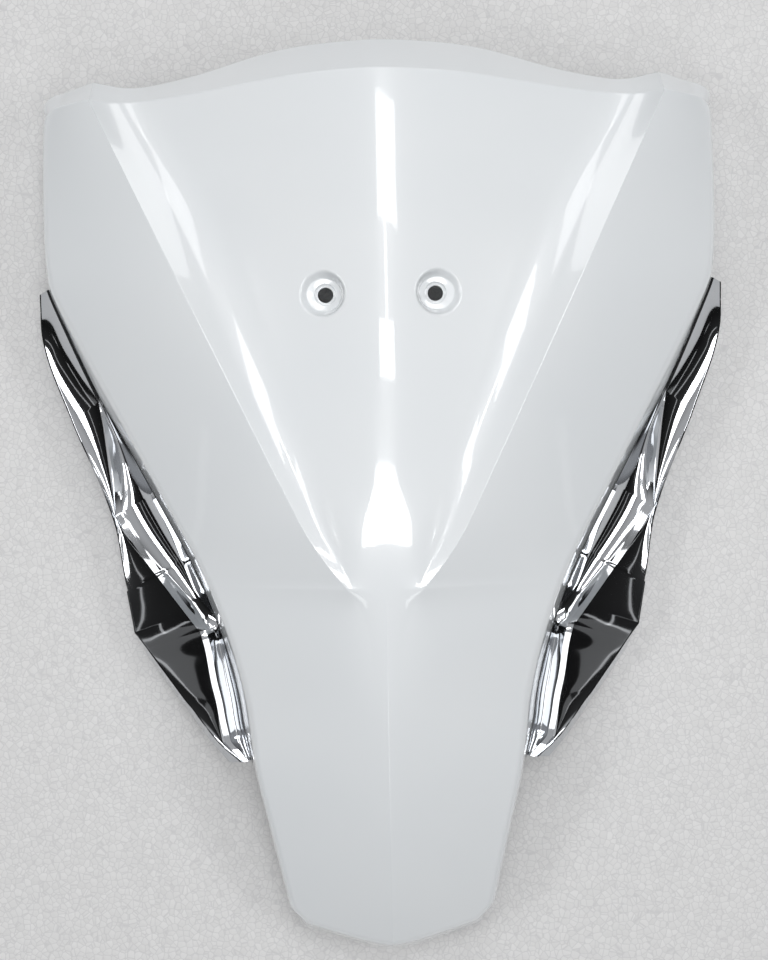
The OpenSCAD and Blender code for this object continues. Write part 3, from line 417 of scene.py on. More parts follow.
def wallProfiles(p, n, z):
    # run and fall of the wall, then of its lip, mixed by the way each station faces
    w = walls
    y, x = p[:, 1], p[:, 0]
    s = between(flankTop, flankTop + w["flankBlend"], y)
    low = mix(w["flankLip"], w["chinLip"], pastTail(w["tailLip"], y))
    side = np.stack([mix(wallRun(y), w["shoulderRun"], s), mix(wallHeight(y), w["shoulderH"], s),
                     mix(0.01, w["shoulderRun"], s),
                     mix(low, np.maximum(z - w["shoulderH"], 2), s)], axis=1)
    ear = w["bandEar"] * np.exp(-((np.abs(x) - scoop["topW"] / 2) / w["bandEarW"]) ** 2)
    band = (w["bandSideW"] + (w["bandMidW"] - w["bandSideW"]) / (1 + (np.abs(x) / w["bandBumpW"]) ** 5)
            + ear)
    top = np.stack([band, band * math.tan(math.radians(w["bandAngle"])), np.full_like(x, w["bandLipRun"]),
                    np.full_like(x, w["bandLip"])], axis=1)
    chin = np.array([w["chinTipRun"], w["chinH"] - w["chinLip"], 0.3, w["chinLip"]])
    t = between(*w["bandFacing"], n[:, 1])[:, None]
    b = between(*w["chinFacing"], -n[:, 1])[:, None]
    return t * top + b * chin + (1 - t - b) * side, t[:, 0], b[:, 0]


def wallRings(outer, inner):
    # section of the wall at every border point, from the face's edge round the corner, down to the lip's
    # foot and back inside; each inner corner is where the two lines a wall's thickness in cross
    w, probe, footRound, lipRound, lipShare = walls, 2, 0.7, 0.35, 0.14
    p, q = outer[:, :2], inner
    a, b = unitRows(p - np.roll(p, 1, axis=0)), unitRows(np.roll(p, -1, axis=0) - p)
    m = unitRows(a + b)
    n = np.stack([m[:, 1], -m[:, 0]], axis=1)
    inward = p - probe * n
    lean = (faceZ(p[:, 0], p[:, 1]) - faceZ(inward[:, 0], inward[:, 1])) / probe
    _, t, b = wallProfiles(p, n, outer[:, 2])
    inset = mix(mix(w["edgeR"] * np.abs(n[:, 0]), w["topIn"], t), w["lowIn"], b)
    corner = np.stack([inset, outer[:, 2] + lean * inset], axis=1)
    f = wallProfiles(p, n, corner[:, 1])[0]
    step1, step2 = np.stack([f[:, 0], -f[:, 1]], axis=1), np.stack([f[:, 2], -f[:, 3]], axis=1)
    b1, b2 = unitRows(step1), unitRows(step2)
    n1 = np.stack([b1[:, 1], -b1[:, 0]], axis=1) * w["wallT"]
    n2 = np.stack([b2[:, 1], -b2[:, 0]], axis=1) * w["wallT"]
    foot1, foot2 = corner + step1, corner + step1 + step2
    # the corner is rounded by a little more than its inset, or by under half of a low wall's height
    r = np.minimum(inset + w["cornerSlack"], f[:, 1] * 0.45)[:, None]
    faceDir = unitRows(np.stack([np.ones_like(lean), lean], axis=1))
    cornerIn = crossing(corner - [0, w["skinT"]], faceDir, corner + n1, b1)
    foot1In = crossing(corner + n1, b1, foot1 + n2, b2)
    foot2In = crossing(foot1In, b2, foot2, np.tile([1.0, 0.0], (len(p), 1)))
    start = np.stack([np.zeros(len(p)), outer[:, 2]], axis=1)
    startIn = np.stack([((q[:, :2] - p) * n).sum(axis=1), q[:, 2]], axis=1)
    rIn = np.maximum(0.8, r - w["wallT"])
    rings = [curve3(start, corner, corner + b1 * r, t) for t in np.linspace(0, 1, 8)[1:]]
    rings += [curve3(foot1 - b1 * footRound, foot1, foot1 + b2 * footRound, t) for t in (0, 0.33, 0.67, 1)]
    rings += [foot2 - b2 * lipRound, mix(foot2, foot2In, lipShare),
              mix(foot2, foot2In, 1 - lipShare), foot2In - b2 * lipRound]
    rings += [foot1In, cornerIn + b1 * rIn, curve3(startIn, cornerIn, cornerIn + b1 * rIn, 0.5)]
    return [np.concatenate([p + n * s[:, :1], s[:, 1:]], axis=1) for s in rings]


def dishRadius(phi, z, side):
    # distance from a number plate seat's centre to its leaning cone: solves |P|^2 - h^2 = (R + h tan flare)^2
    s = seats
    lean, flare, r = math.radians(s["lean"]), math.tan(math.radians(s["flare"])), s["seatD"] / 2
    c, d = np.cos(phi) * side * math.sin(lean), z * math.cos(lean)
    qa = 1 - (1 + flare ** 2) * c * c
    qb = -(2 * c * d * (1 + flare ** 2) + 2 * r * flare * c)
    qc = z * z - (1 + flare ** 2) * d * d - 2 * r * flare * d - r * r
    return softMax(r, (-qb + np.sqrt(qb * qb - 4 * qa * qc)) / (2 * qa), s["dishSoft"])


def seatRings(outerLoop, innerLoop, side):
    # rings of points from the face's cut-out into the dish, through the hole and out to the back; the
    # dish's rim is where its cone meets the face, found by trying the last height again a dozen times
    s = seats
    cx, cy = side * s["pitch"] / 2, s["y"]
    phi = np.arctan2(outerLoop[:, 1] - cy, outerLoop[:, 0] - cx)
    spoke = np.stack([np.cos(phi), np.sin(phi)], axis=1)
    faceAt = lambda rad: faceZ(cx + rad * spoke[:, 0], cy + rad * spoke[:, 1]) - s["seatZ"]
    rimZ = np.full_like(phi, 6.0)
    for _ in range(12):
        rimZ = faceAt(dishRadius(phi, rimZ, side))
    rim = dishRadius(phi, rimZ, side)
    start = rim + s["rimRound"]
    loops = []

    def put(rad, z):
        # one ring at a radius and a height over the seat, either of them one number or one for each spoke
        rad = np.broadcast_to(rad, phi.shape)
        z = np.broadcast_to(z, phi.shape)
        loops.append(np.stack([cx + rad * spoke[:, 0], cy + rad * spoke[:, 1], z + s["seatZ"]], axis=1))

    far = np.hypot(outerLoop[:, 0] - cx, outerLoop[:, 1] - cy)
    for t in (0.25, 0.5, 0.75, 1):
        rad = mix(far, start, t)
        put(rad, faceAt(rad))
    below = np.maximum(rimZ - s["rimFall"], 0.9)
    for t in (0.2, 0.4, 0.6, 0.8, 1):
        put(curve3(start, rim, dishRadius(phi, below, side), t), curve3(faceAt(start), rimZ, below, t))
    footR, soft, bevel, bossSoft = s["footRound"], s["edgeRound"], s["edgeBevel"], s["bossRound"]
    for t in (0.25, 0.5, 0.75, 1):
        z = mix(below, footR, t)
        put(dishRadius(phi, z, side), z)
    # the dish's foot, then radius and height down the step and the hole, round the boss and up to the skin
    foot = dishRadius(phi, 0.0, side)
    for t in (0.33, 0.67, 1):
        put(curve3(dishRadius(phi, footR, side), foot, foot - footR, t), curve3(footR, 0.0, 0.0, t))
    step, hole, bossR = s["stepD"] / 2, s["holeD"] / 2, s["bossD"] / 2
    deep, end = -s["stepDepth"], -s["bossDepth"]
    for rad, z in ((step + soft, 0), (step + bevel, -bevel), (step, -soft),
                   (step, deep + 0.2), (step - 0.2, deep),
                   (hole + soft, deep), (hole + bevel, deep - bevel), (hole, deep - soft),
                   (hole, end + 0.3), (hole + 0.3, end), (bossR - bossSoft, end), (bossR, end + bossSoft)):
        put(rad, z)
    put(bossR, faceAt(bossR) - walls["skinT"])
    farIn = np.hypot(innerLoop[:, 0] - cx, innerLoop[:, 1] - cy)
    rad = mix(bossR, farIn, 0.5)
    put(rad, faceAt(rad) - walls["skinT"])
    return loops


def loopOf(j0, j1, k0, k1):
    # border of a window of rows j0 to j1 and columns k0 to k1, counter-clockwise seen from above
    return ([(j1, k) for k in range(k0, k1)] + [(j, k1) for j in range(j1, j0, -1)]
            + [(j0, k) for k in range(k1, k0, -1)] + [(j, k0) for j in range(j0, j1)])


def ringQuads(rings):
    # quads between closed rings of point numbers, one after another
    out = []
    for a, b in zip(rings[:-1], rings[1:]):
        out.append(np.stack([a, np.roll(a, -1), np.roll(b, -1), b], axis=1))
    return np.concatenate(out)


def buildShell(material):
    # the outer and inner grids, joined by rings of quads through both plate seats and round the border
    w = walls
    outer = faceGrid(w["edgeR"], w["topIn"], w["lowIn"], 0)
    inner = faceGrid(w["wallT"] + w["innerSideIn"], w["innerTopIn"], w["wallT"] + w["innerLowIn"], w["skinT"])
    rows, cols = outer.shape[:2]
    outerIndex = np.arange(rows * cols).reshape(rows, cols)
    innerIndex = outerIndex + rows * cols
    points = [outer.reshape(-1, 3), inner.reshape(-1, 3)]
    count = 2 * rows * cols
    quads = []

    # both number plate seats: a window is left out of each grid and filled by rings
    keep = np.ones((rows - 1, cols - 1), dtype=bool)
    for side in (-1, 1):
        cx, cy, half = side * seats["pitch"] / 2, seats["y"], seats["window"]
        j = np.flatnonzero(np.abs(outer[:, cols // 2, 1] - cy) < half)
        row = outer[(j[0] + j[-1]) // 2]
        k = np.flatnonzero(np.abs(row[:, 0] - cx) < half)
        loop = np.array(loopOf(j[0], j[-1], k[0], k[-1]))
        keep[j[0]:j[-1], k[0]:k[-1]] = False
        loops = seatRings(outer[loop[:, 0], loop[:, 1]], inner[loop[:, 0], loop[:, 1]], side)
        numbers = [outerIndex[loop[:, 0], loop[:, 1]]]
        for ring in loops:
            points.append(ring)
            numbers.append(np.arange(count, count + len(ring)))
            count += len(ring)
        numbers.append(innerIndex[loop[:, 0], loop[:, 1]])
        quads.append(ringQuads(numbers))
    quads.append(gridQuads(outerIndex)[keep.ravel()])
    quads.append(gridQuads(innerIndex, flip=True)[keep.ravel()])

    # the walls all round
    border = np.array(loopOf(0, rows - 1, 0, cols - 1))
    numbers = [outerIndex[border[:, 0], border[:, 1]]]
    for ring in wallRings(outer[border[:, 0], border[:, 1]], inner[border[:, 0], border[:, 1]]):
        points.append(ring)
        numbers.append(np.arange(count, count + len(ring)))
        count += len(ring)
    numbers.append(innerIndex[border[:, 0], border[:, 1]])
    quads.append(ringQuads(numbers)[:, ::-1])
    return makeMesh("panelShell", np.concatenate(points), np.concatenate(quads), material, sharpAngle=50)


# bosses, ribs and screw tabs behind the panel's face
back = {
    "topBossX": 88, "topBossY": 200, "topBossZ": 34, "chinBossX": 30, "chinBossY": -205, "chinBossZ": 16,
    "bossD": 11, "boreD": 4.2, "boreDepth": 14, "ribT": 1.8, "ribDepth": 9, "reach": 22, "tabW": 22,
    "tabT": 3, "postD": 9, "postBoreD": 4.1, "postBoreDepth": 7.5, "postRoof": 2.2, "merge": 0.6,
    "seatClear": 13, "topRibEnd": 12, "chinRibGap": 8, "gussetW": 6, "roundSteps": 48, "postSteps": 40,
    "ribPoints": 25, "tabRim": 1, "webShare": 0.45,
    # each post: level on the flank, distance from the panel's wall, height of the tab's top
    "posts": [[92, 9.5, 8], [-8, 16, 9], [-95, 22, 16]],
}


def turned(profile, steps, centre, topAt=None):
    # a profile of [radius, height] rows carried round an upright axis: x = r cos a, y = r sin a;
    # topAt lifts the last two rows to a surface
    angle = np.arange(steps) * 2 * np.pi / steps
    x = centre[0] + profile[:, :1] * np.cos(angle)
    y = centre[1] + profile[:, :1] * np.sin(angle)
    z = np.repeat(profile[:, 1:2], steps, axis=1)
    if topAt is not None:
        z[-2:] = topAt(x[-2:], y[-2:])
    index = np.arange(len(profile) * steps).reshape(len(profile), steps)
    return np.stack([x, y, z], axis=2).reshape(-1, 3), ringQuads(list(index))


def bored(radius, bore, depth, low):
    # outline of a boss from the bottom of its bore, over its rounded foot and up its outside; it ends in a
    # ring round the axis that is too small to see, and turned lifts its last two rows to the roof
    pin, boreSoft, footSoft, roof = 0.02, 0.3, 0.4, 5
    return np.array([[pin, low + depth], [bore, low + depth], [bore, low + boreSoft], [bore + boreSoft, low],
                     [radius - footSoft, low], [radius, low + footSoft], [radius, low + roof],
                     [pin, low + roof]])


def ribSolid(a, b, depth):
    # a thin strip under the skin from a to b: the face's height less the skin at its top, and less the
    # rib's depth at its foot
    a, b = np.array(a, float), np.array(b, float)
    d = (b - a) / np.hypot(*(b - a))
    side = np.array([-d[1], d[0]]) * back["ribT"] / 2
    line = mix(a, b, np.linspace(0, 1, back["ribPoints"])[:, None])
    top = faceZ(line[:, 0], line[:, 1]) - walls["skinT"] + back["merge"]
    low = faceZ(line[:, 0], line[:, 1]) - walls["skinT"] / 2 - depth
    corners = [np.c_[line + side, top], np.c_[line - side, top],
               np.c_[line - side, low], np.c_[line + side, low]]
    rings = np.stack(corners, axis=1)
    index = np.arange(rings.shape[0] * 4).reshape(-1, 4)
    quads = [ringQuads(list(index)), index[:1], index[-1:, ::-1]]
    return rings.reshape(-1, 3), np.concatenate(quads)


def boxSolid(lo, hi, place):
    # a plain block between two corners, then moved by place
    x, y, z = [np.array([lo[i], hi[i]]) for i in range(3)]
    c = np.array([[x[i], y[j], z[k]] for i in (0, 1) for j in (0, 1) for k in (0, 1)])
    quads = np.array([[0, 1, 3, 2], [4, 6, 7, 5], [0, 4, 5, 1], [2, 3, 7, 6], [0, 2, 6, 4], [1, 5, 7, 3]])
    return place(c), quads


def edgeNormal(y):
    # direction square to the face's edge, from the edge's slope over two millimetres
    slope = (edgeX(y - 1.0) - edgeX(y + 1.0)) / 2
    return unitRows(np.stack([np.ones_like(slope), slope], axis=-1))


def seatLevel(y):
    # height at which the garnish meets the foot of the panel's wall
    return edgeZ(y) - wallHeight(y)


def atPost(y):
    # moves points from a post's own frame, whose x runs outwards from the wall, to the panel's
    y = np.float64(y)
    n = edgeNormal(y)
    base = np.array([edgeX(y), y]) + n * wallRun(y)
    turn = np.array([[n[0], n[1]], [-n[1], n[0]]])
    return lambda c: np.c_[base + c[:, :2] @ turn, c[:, 2]]


def mirroredX(points, quads):
    # the same solid on the other side; its quads turn round so that they still face outwards
    return points * np.array([-1, 1, 1]), quads[:, ::-1]


def joined(parts):
    # many small solids as one list of points and quads
    shift, allPoints, allQuads = 0, [], []
    for p, q in parts:
        allPoints.append(p)
        allQuads.append(q + shift)
        shift += len(p)
    return np.concatenate(allPoints), np.concatenate(allQuads)


def buildBack(material):
    # bosses turned round upright axes, ribs that run from them, and a boxed tab with two gussets at each
    # post: one half is made and mirrored, then the two ribs that cross the middle are added
    b, w = back, walls
    top = lambda x, y: faceZ(x, y) - w["skinT"] + b["merge"]
    px, py, reach, depth, clear = seats["pitch"] / 2, seats["y"], b["reach"], b["ribDepth"], b["seatClear"]
    tx, ty, cx, cy = b["topBossX"], b["topBossY"], b["chinBossX"], b["chinBossY"]
    half = []
    for x, y, low in ((tx, ty, b["topBossZ"]), (cx, cy, b["chinBossZ"])):
        boss = bored(b["bossD"] / 2, b["boreD"] / 2, b["boreDepth"], low)
        half.append(turned(boss, b["roundSteps"], (x, y), top))
    for a, e in (((px, py - 2 * reach), (px, py - clear)), ((px, py + clear), (px, py + 2 * reach)),
                 ((px + clear, py), (px + reach, py)),
                 ((tx - reach, ty), (tx + reach, ty)), ((tx, ty - reach), (tx, ty + b["topRibEnd"])),
                 ((cx, cy - reach), (cx, cy + reach))):
        half.append(ribSolid(a, e, depth))
    for y, out, z in b["posts"]:
        place = atPost(y)
        t, tw = b["tabT"], b["tabW"] / 2
        # the tab hangs on a web that ends part of the way down the wall's lip, inside the wall
        webTop = float(seatLevel(np.float64(y))) - w["flankLip"] * b["webShare"]
        inWall = -w["wallT"] + 0.2
        half.append(boxSolid((inWall, -tw, z - t), (-0.3, tw, webTop), place))
        half.append(boxSolid((inWall, -tw, z - t), (out + b["postD"] / 2 + b["tabRim"], tw, z), place))
        for e in (-tw, tw - b["ribT"]):
            # a gusset: a thin block whose upper outer edge is drawn back to the wall
            p, q = boxSolid((-1, e, z - 0.5), (b["gussetW"], e + b["ribT"], z + b["gussetW"]), lambda c: c)
            p[(p[:, 0] > 0) & (p[:, 2] > z), 0] = -0.9
            half.append((place(p), q))
    whole = half + [mirroredX(p, q) for p, q in half]
    whole.append(ribSolid((-px + clear, py), (px - clear, py), depth))
    whole.append(ribSolid((-cx - b["chinRibGap"], cy), (cx + b["chinRibGap"], cy), depth))
    points, quads = joined(whole)
    return makeMesh("panelBack", points, quads, material, sharpAngle=30)


# the plated garnish: one dictionary for both sides, as the left one is the right one mirrored
garnish = {
    "t": 2.6, "gap": 0.4, "tipY": 130, "cornerY": -51, "tailY": -147, "tipW": 6, "cornerW": 50, "tailW": 7,
    "ridgeA": 68, "ridgeB": 14, "ridgeC": -64, "channelW": 10.5, "peakZ": 45, "leafSag": 5, "channelSag": 8,
    "outerHollow": 2, "rimZ": 20, "upperRimZ": 24, "lipW": 3.6, "lowLip": 4.2, "inset": 1.5, "beadW": 3.4,
    "channelGrowth": 3.5, "ridgeBow": 14, "ridgeStep": 0.7, "beadDrop": 0.3, "beadShare": 0.35,
    "lipShare": 0.6, "rimRound": 0.9, "levelPitch": 1.3,
}


def garnishW(y):
    # width square to the panel's wall, a curve through stations [level, width] above and below the corner
    g = garnish
    upper = [[g["cornerY"] - 20, g["cornerW"] + 3], [g["cornerY"], g["cornerW"]],
             [g["cornerY"] + 31, g["cornerW"] - 8], [10, 30], [67, 21.5], [112, 16], [g["tipY"], g["tipW"]]]
    lower = [[g["tailY"], g["tailW"]], [g["tailY"] + 10, 16], [g["tailY"] + 36, 30], [g["tailY"] + 68, 42.5],
             [g["cornerY"], g["cornerW"]], [g["cornerY"] + 20, g["cornerW"] + 5]]
    return np.where(y > g["cornerY"], through(upper, y), through(lower, y))


def ridgeQ(y):
    # the ridge's distance from the wall: it wanders from the panel's wall to the rim, back towards the wall
    # with a slight bow, then down beside it as the channel's edge
    g = garnish
    w = garnishW(y)
    b = (g["ridgeB"] - y) / (g["ridgeB"] - g["ridgeC"])
    wB = float(garnishW(np.float64(g["ridgeB"])))
    first = mix(g["inset"], w - g["inset"], (g["ridgeA"] - y) / (g["ridgeA"] - g["ridgeB"]))
    second = mix(wB - g["inset"], g["channelW"], b) + g["ridgeBow"] * b * (1 - b)
    channel = g["channelW"] + g["channelGrowth"] * between(g["ridgeC"], g["ridgeC"] - 36, y)
    third = np.minimum(channel, w * 0.8)
    return np.where(y >= g["ridgeA"], g["inset"],
                    np.where(y >= g["ridgeB"], first, np.where(y >= g["ridgeC"], second, third)))


def garnishSection(y, s):
    # points [outwards, height] at levels y for section places s: 0 the wall, 4 the bead's start, 5 the ridge,
    # 10 the rim, 11 and 12 the two bends of the lip, 13 its foot. Between them lie straight lines, and the
    # two faces sag below theirs by sag times 4t(1-t). The stations are [level, height].
    g = garnish
    low, up = g["rimZ"], g["upperRimZ"]
    rimStations = [[g["tailY"], low + 8], [g["tailY"] + 10, low + 7], [g["tailY"] + 36, low + 4],
                   [g["tailY"] + 60, low + 1.5], [g["cornerY"] - 12, low], [g["ridgeB"] - 10, up - 1.5],
                   [g["ridgeB"] + 30, up], [108, up + 2.5], [122, up + 6], [g["tipY"], up + 11]]
    footStations = [[g["tailY"], 22], [g["tailY"] + 10, 14], [g["tailY"] + 30, 7.5], [g["tailY"] + 52, 3],
                    [g["cornerY"] - 26, 0], [g["cornerY"], 0], [108, 0], [119, 8], [g["tipY"], 26]]
    seatA = float(seatLevel(np.float64(g["ridgeA"]))) - g["ridgeStep"]
    ridgeStations = [[g["tailY"], low + 8.6], [g["tailY"] + 10, low + 8.5], [g["tailY"] + 36, low + 13.5],
                     [g["ridgeC"] - 14, g["peakZ"] - 3], [g["ridgeC"], g["peakZ"]],
                     [g["ridgeC"] + 18, g["peakZ"] - 6.5], [g["ridgeC"] + 42, g["peakZ"] - 14],
                     [g["ridgeB"], up - 0.2], [g["ridgeB"] + 14, up + 2.5], [g["ridgeB"] + 28, up + 5],
                     [g["ridgeA"], seatA]]
    seat, w, q = seatLevel(y), garnishW(y), ridgeQ(y)
    ridgeH = np.where(y > g["ridgeA"], seat - g["ridgeStep"], through(ridgeStations, y))
    leafSag = (g["leafSag"] * between(g["ridgeA"] + 4, g["ridgeB"] + 16, y)
               * (1 - 0.85 * between(g["ridgeC"] + 22, g["ridgeC"], y)))
    channelSag = (mix(g["leafSag"] * 0.15, g["channelSag"], between(g["ridgeC"], g["ridgeC"] - 10, y))
                  * (1 - 0.7 * between(g["tailY"] + 16, g["tailY"], y)))
    innerSag = np.where(y > g["ridgeC"], leafSag, channelSag)
    outerSag = (g["outerHollow"] * between(g["tipY"] - 4, 100, y)
                * (1 - 0.6 * between(g["ridgeB"] + 20, g["ridgeB"] - 20, y)))
    lipRun = (mix(g["lipW"] + g["lowLip"], g["lipW"], between(g["cornerY"] - 24, g["cornerY"] + 4, y))
              * mix(1, 0.4, between(108, g["tipY"], y)))
    spread = lambda v: np.broadcast_to(v, y.shape)
    pair = lambda a, b: np.stack([spread(a), spread(b)], axis=1)[:, None, :]
    a, r, m = pair(0, seat), pair(q, ridgeH), pair(w, through(rimStations, y))
    beadX = np.minimum(g["beadW"], q * g["beadShare"])
    beadShape = between(g["ridgeC"] + 2, g["ridgeC"] - 4, y)
    # above the corner the bead follows the leaf, and beside the channel it is a flat step
    follow = (ridgeH - seat) * beadX / q + innerSag * 4 * beadX / q * (1 - beadX / q)
    drop = mix(follow, g["beadDrop"], beadShape)
    e = r - pair(beadX, drop)
    lip = pair(w + lipRun, np.maximum(0, through(footStations, y)))
    sagDown = lambda sag, t: np.stack([np.zeros_like(t + sag[:, None]),
                                       sag[:, None] * 4 * t * (1 - t)], axis=2)
    t1 = (np.minimum(s, 4) / 4)[None, :]
    inner = mix(a, e, t1[..., None]) - sagDown(innerSag, t1)
    bead = mix(e, r, clamp01(s - 4)[None, :, None])
    t2 = np.interp(s, [5, 6, 7, 8, 9, 10], [0, 0.17, 0.37, 0.6, 0.82, 1])[None, :]
    outer = mix(r, m, t2[..., None]) - sagDown(outerSag, t2)
    m2, m3 = m + [g["rimRound"], -0.5], mix(m, lip, g["lipShare"]) + [0.5, 0]
    rim = np.where((s <= 11)[None, :, None], mix(m, m2, clamp01(s - 10)[None, :, None]),
                   np.where((s <= 12)[None, :, None], mix(m2, m3, clamp01(s - 11)[None, :, None]),
                            mix(m3, lip, clamp01(s - 12)[None, :, None])))
    k = s[None, :, None]
    return np.where(k <= 4, inner, np.where(k <= 5, bead, np.where(k <= 10, outer, rim)))


def spacedLevels(stops, pitch):
    # even steps of about pitch between stops, each stop met exactly
    out = [np.array([stops[0]], float)]
    for a, b in zip(stops[:-1], stops[1:]):
        n = max(1, int(round(abs(b - a) / pitch)))
        out.append(np.linspace(a, b, n + 1)[1:])
    return np.concatenate(out)


def buildGarnish(name, side, material):
    # the section at each level, placed square to the panel's edge; the back is the front moved inwards by
    # the wall's thickness, along a direction that turns with the section from down to sideways
    g = garnish
    near = [g["ridgeA"], g["ridgeB"], g["cornerY"], g["ridgeC"]]
    stops = sorted({g["tipY"], g["tailY"], *near, *[v + d for v in near for d in (-0.4, 0.4)]}, reverse=True)
    y = spacedLevels(stops, g["levelPitch"])
    s = np.unique(np.concatenate([np.linspace(0, 3.9, 14), [4, 4.12, 4.5, 4.88, 5, 5.05, 5.12],
                                  np.linspace(5.25, 9.85, 18), [9.95, 10, 10.3, 10.7, 11, 11.1],
                                  np.linspace(11.3, 12.8, 6), [12.93, 13]]))
    front = garnishSection(y, s)
    angle = np.radians(np.interp(s, [0, 4, 5, 12, 13], [0, 0, 6.25, 50, 90]))
    shift = g["t"] * np.stack([-np.sin(angle), -np.cos(angle)], axis=1) * np.where(s > 12.3, 0.9, 1)[:, None]
    n = edgeNormal(y)
    base = np.stack([edgeX(y), y], axis=1) + n * (wallRun(y) + g["gap"])[:, None]

    def place(sec):
        # from the section's own frame to the panel's, and nothing below the floor
        xy = base[:, None, :] + n[:, None, :] * sec[..., :1]
        return np.concatenate([xy, np.maximum(sec[..., 1:], 0)], axis=2)

    front, backSide = place(front), place(front + shift[None])
    rows, cols = front.shape[:2]
    f = np.arange(rows * cols).reshape(rows, cols)
    b = f + rows * cols
    rim = np.array(loopOf(0, rows - 1, 0, cols - 1))
    edge = ringQuads([f[rim[:, 0], rim[:, 1]], b[rim[:, 0], rim[:, 1]]])[:, ::-1]
    quads = [gridQuads(f), gridQuads(b, flip=True), edge]
    parts = [(np.concatenate([front.reshape(-1, 3), backSide.reshape(-1, 3)]), np.concatenate(quads))]
    # each post ends a little below the lowest point of the front over it
    postR, boreR = back["postD"] / 2, back["postBoreD"] / 2
    for yp, out, z in back["posts"]:
        sec = garnishSection(np.array([float(yp)]), np.linspace(0, 12, 80))[0]
        top = np.interp([out - postR, out, out + postR], sec[:, 0], sec[:, 1]).min() - back["postRoof"]
        p, q = turned(bored(postR, boreR, back["postBoreDepth"], z), back["postSteps"], (0, 0),
                      lambda x, y: np.full_like(x, top))
        parts.append((atPost(yp)(p + [out, 0, 0]), q))
    points, quads = joined(parts)
    if side < 0:
        points, quads = mirroredX(points, quads)
    return makeMesh(name, points, quads, material, sharpAngle=32)


def newMaterial(name):
    # a material with a Principled shader on its output, and the place of each point in its own object
    material = bpy.data.materials.new(name)
    material.use_nodes = True
    tree = material.node_tree
    tree.nodes.clear()
    shader = addNode(tree, "ShaderNodeBsdfPrincipled")
    addNode(tree, "ShaderNodeOutputMaterial", links={"Surface": shader.outputs["BSDF"]})
    place = addNode(tree, "ShaderNodeTexCoord").outputs["Object"]
    return material, tree, shader, place


def paintedAbs():
    # ABS moulding, sprayed gloss white under clear lacquer: clean milky white, sharp reflections that
    # waver a little because the lacquer has faint orange peel
    look = {"white": "#e4e7e9", "shade": "#dfe3e6", "peelMm": 2.6, "driftMm": 90,
            "roughMin": 0.2, "roughMax": 0.26, "lacquerRough": 0.035}
    material, tree, shader, place = newMaterial("glossPaintedAbs")
    drift = addNode(tree, "ShaderNodeTexNoise", {"Scale": 1000 / look["driftMm"], "Detail": 2.0},
                    {"Vector": place})
    ramp = addNode(tree, "ShaderNodeValToRGB", links={"Fac": drift.outputs["Fac"]})
    ramp.color_ramp.elements[0].position, ramp.color_ramp.elements[1].position = 0.1, 0.9
    ramp.color_ramp.elements[0].color = linearColour(look["shade"])
    ramp.color_ramp.elements[1].color = linearColour(look["white"])
    tree.links.new(ramp.outputs["Color"], shader.inputs["Base Color"])
    rough = addNode(tree, "ShaderNodeMapRange", {"To Min": look["roughMin"], "To Max": look["roughMax"]},
                    {"Value": drift.outputs["Fac"]})
    tree.links.new(rough.outputs["Result"], shader.inputs["Roughness"])
    peel = addNode(tree, "ShaderNodeTexNoise", {"Scale": 1000 / look["peelMm"], "Detail": 1.0},
                   {"Vector": place})
    bump = addNode(tree, "ShaderNodeBump", {"Strength": 0.05, "Distance": 0.0002},
                   {"Height": peel.outputs["Fac"]})
    tree.links.new(bump.outputs["Normal"], shader.inputs["Normal"])
    tree.links.new(bump.outputs["Normal"], shader.inputs["Coat Normal"])
    shader.inputs["IOR"].default_value = 1.49
    shader.inputs["Coat Weight"].default_value = 1.0
    shader.inputs["Coat Roughness"].default_value = look["lacquerRough"]
    shader.inputs["Coat IOR"].default_value = 1.5
    return material


def chromedAbs():
    # bright chrome plated on moulded ABS: a hard mirror, bluish grey, with very slight waviness and haze
    look = {"chrome": "#d3d5d8", "haze": "#c9ccd0", "waveMm": 14, "hazeMm": 35,
            "roughMin": 0.03, "roughMax": 0.09}
    material, tree, shader, place = newMaterial("chromePlatedAbs")
    haze = addNode(tree, "ShaderNodeTexNoise", {"Scale": 1000 / look["hazeMm"], "Detail": 4.0},
                   {"Vector": place})
    ramp = addNode(tree, "ShaderNodeValToRGB", links={"Fac": haze.outputs["Fac"]})
    ramp.color_ramp.elements[0].color = linearColour(look["haze"])
    ramp.color_ramp.elements[1].color = linearColour(look["chrome"])
    tree.links.new(ramp.outputs["Color"], shader.inputs["Base Color"])
    rough = addNode(tree, "ShaderNodeMapRange", {"To Min": look["roughMin"], "To Max": look["roughMax"]},
                    {"Value": haze.outputs["Fac"]})
    tree.links.new(rough.outputs["Result"], shader.inputs["Roughness"])
    wave = addNode(tree, "ShaderNodeTexNoise", {"Scale": 1000 / look["waveMm"], "Detail": 0.0},
                   {"Vector": place})
    bump = addNode(tree, "ShaderNodeBump", {"Strength": 0.12, "Distance": 0.0006},
                   {"Height": wave.outputs["Fac"]})
    tree.links.new(bump.outputs["Normal"], shader.inputs["Normal"])
    shader.inputs["Metallic"].default_value = 1.0
    return material


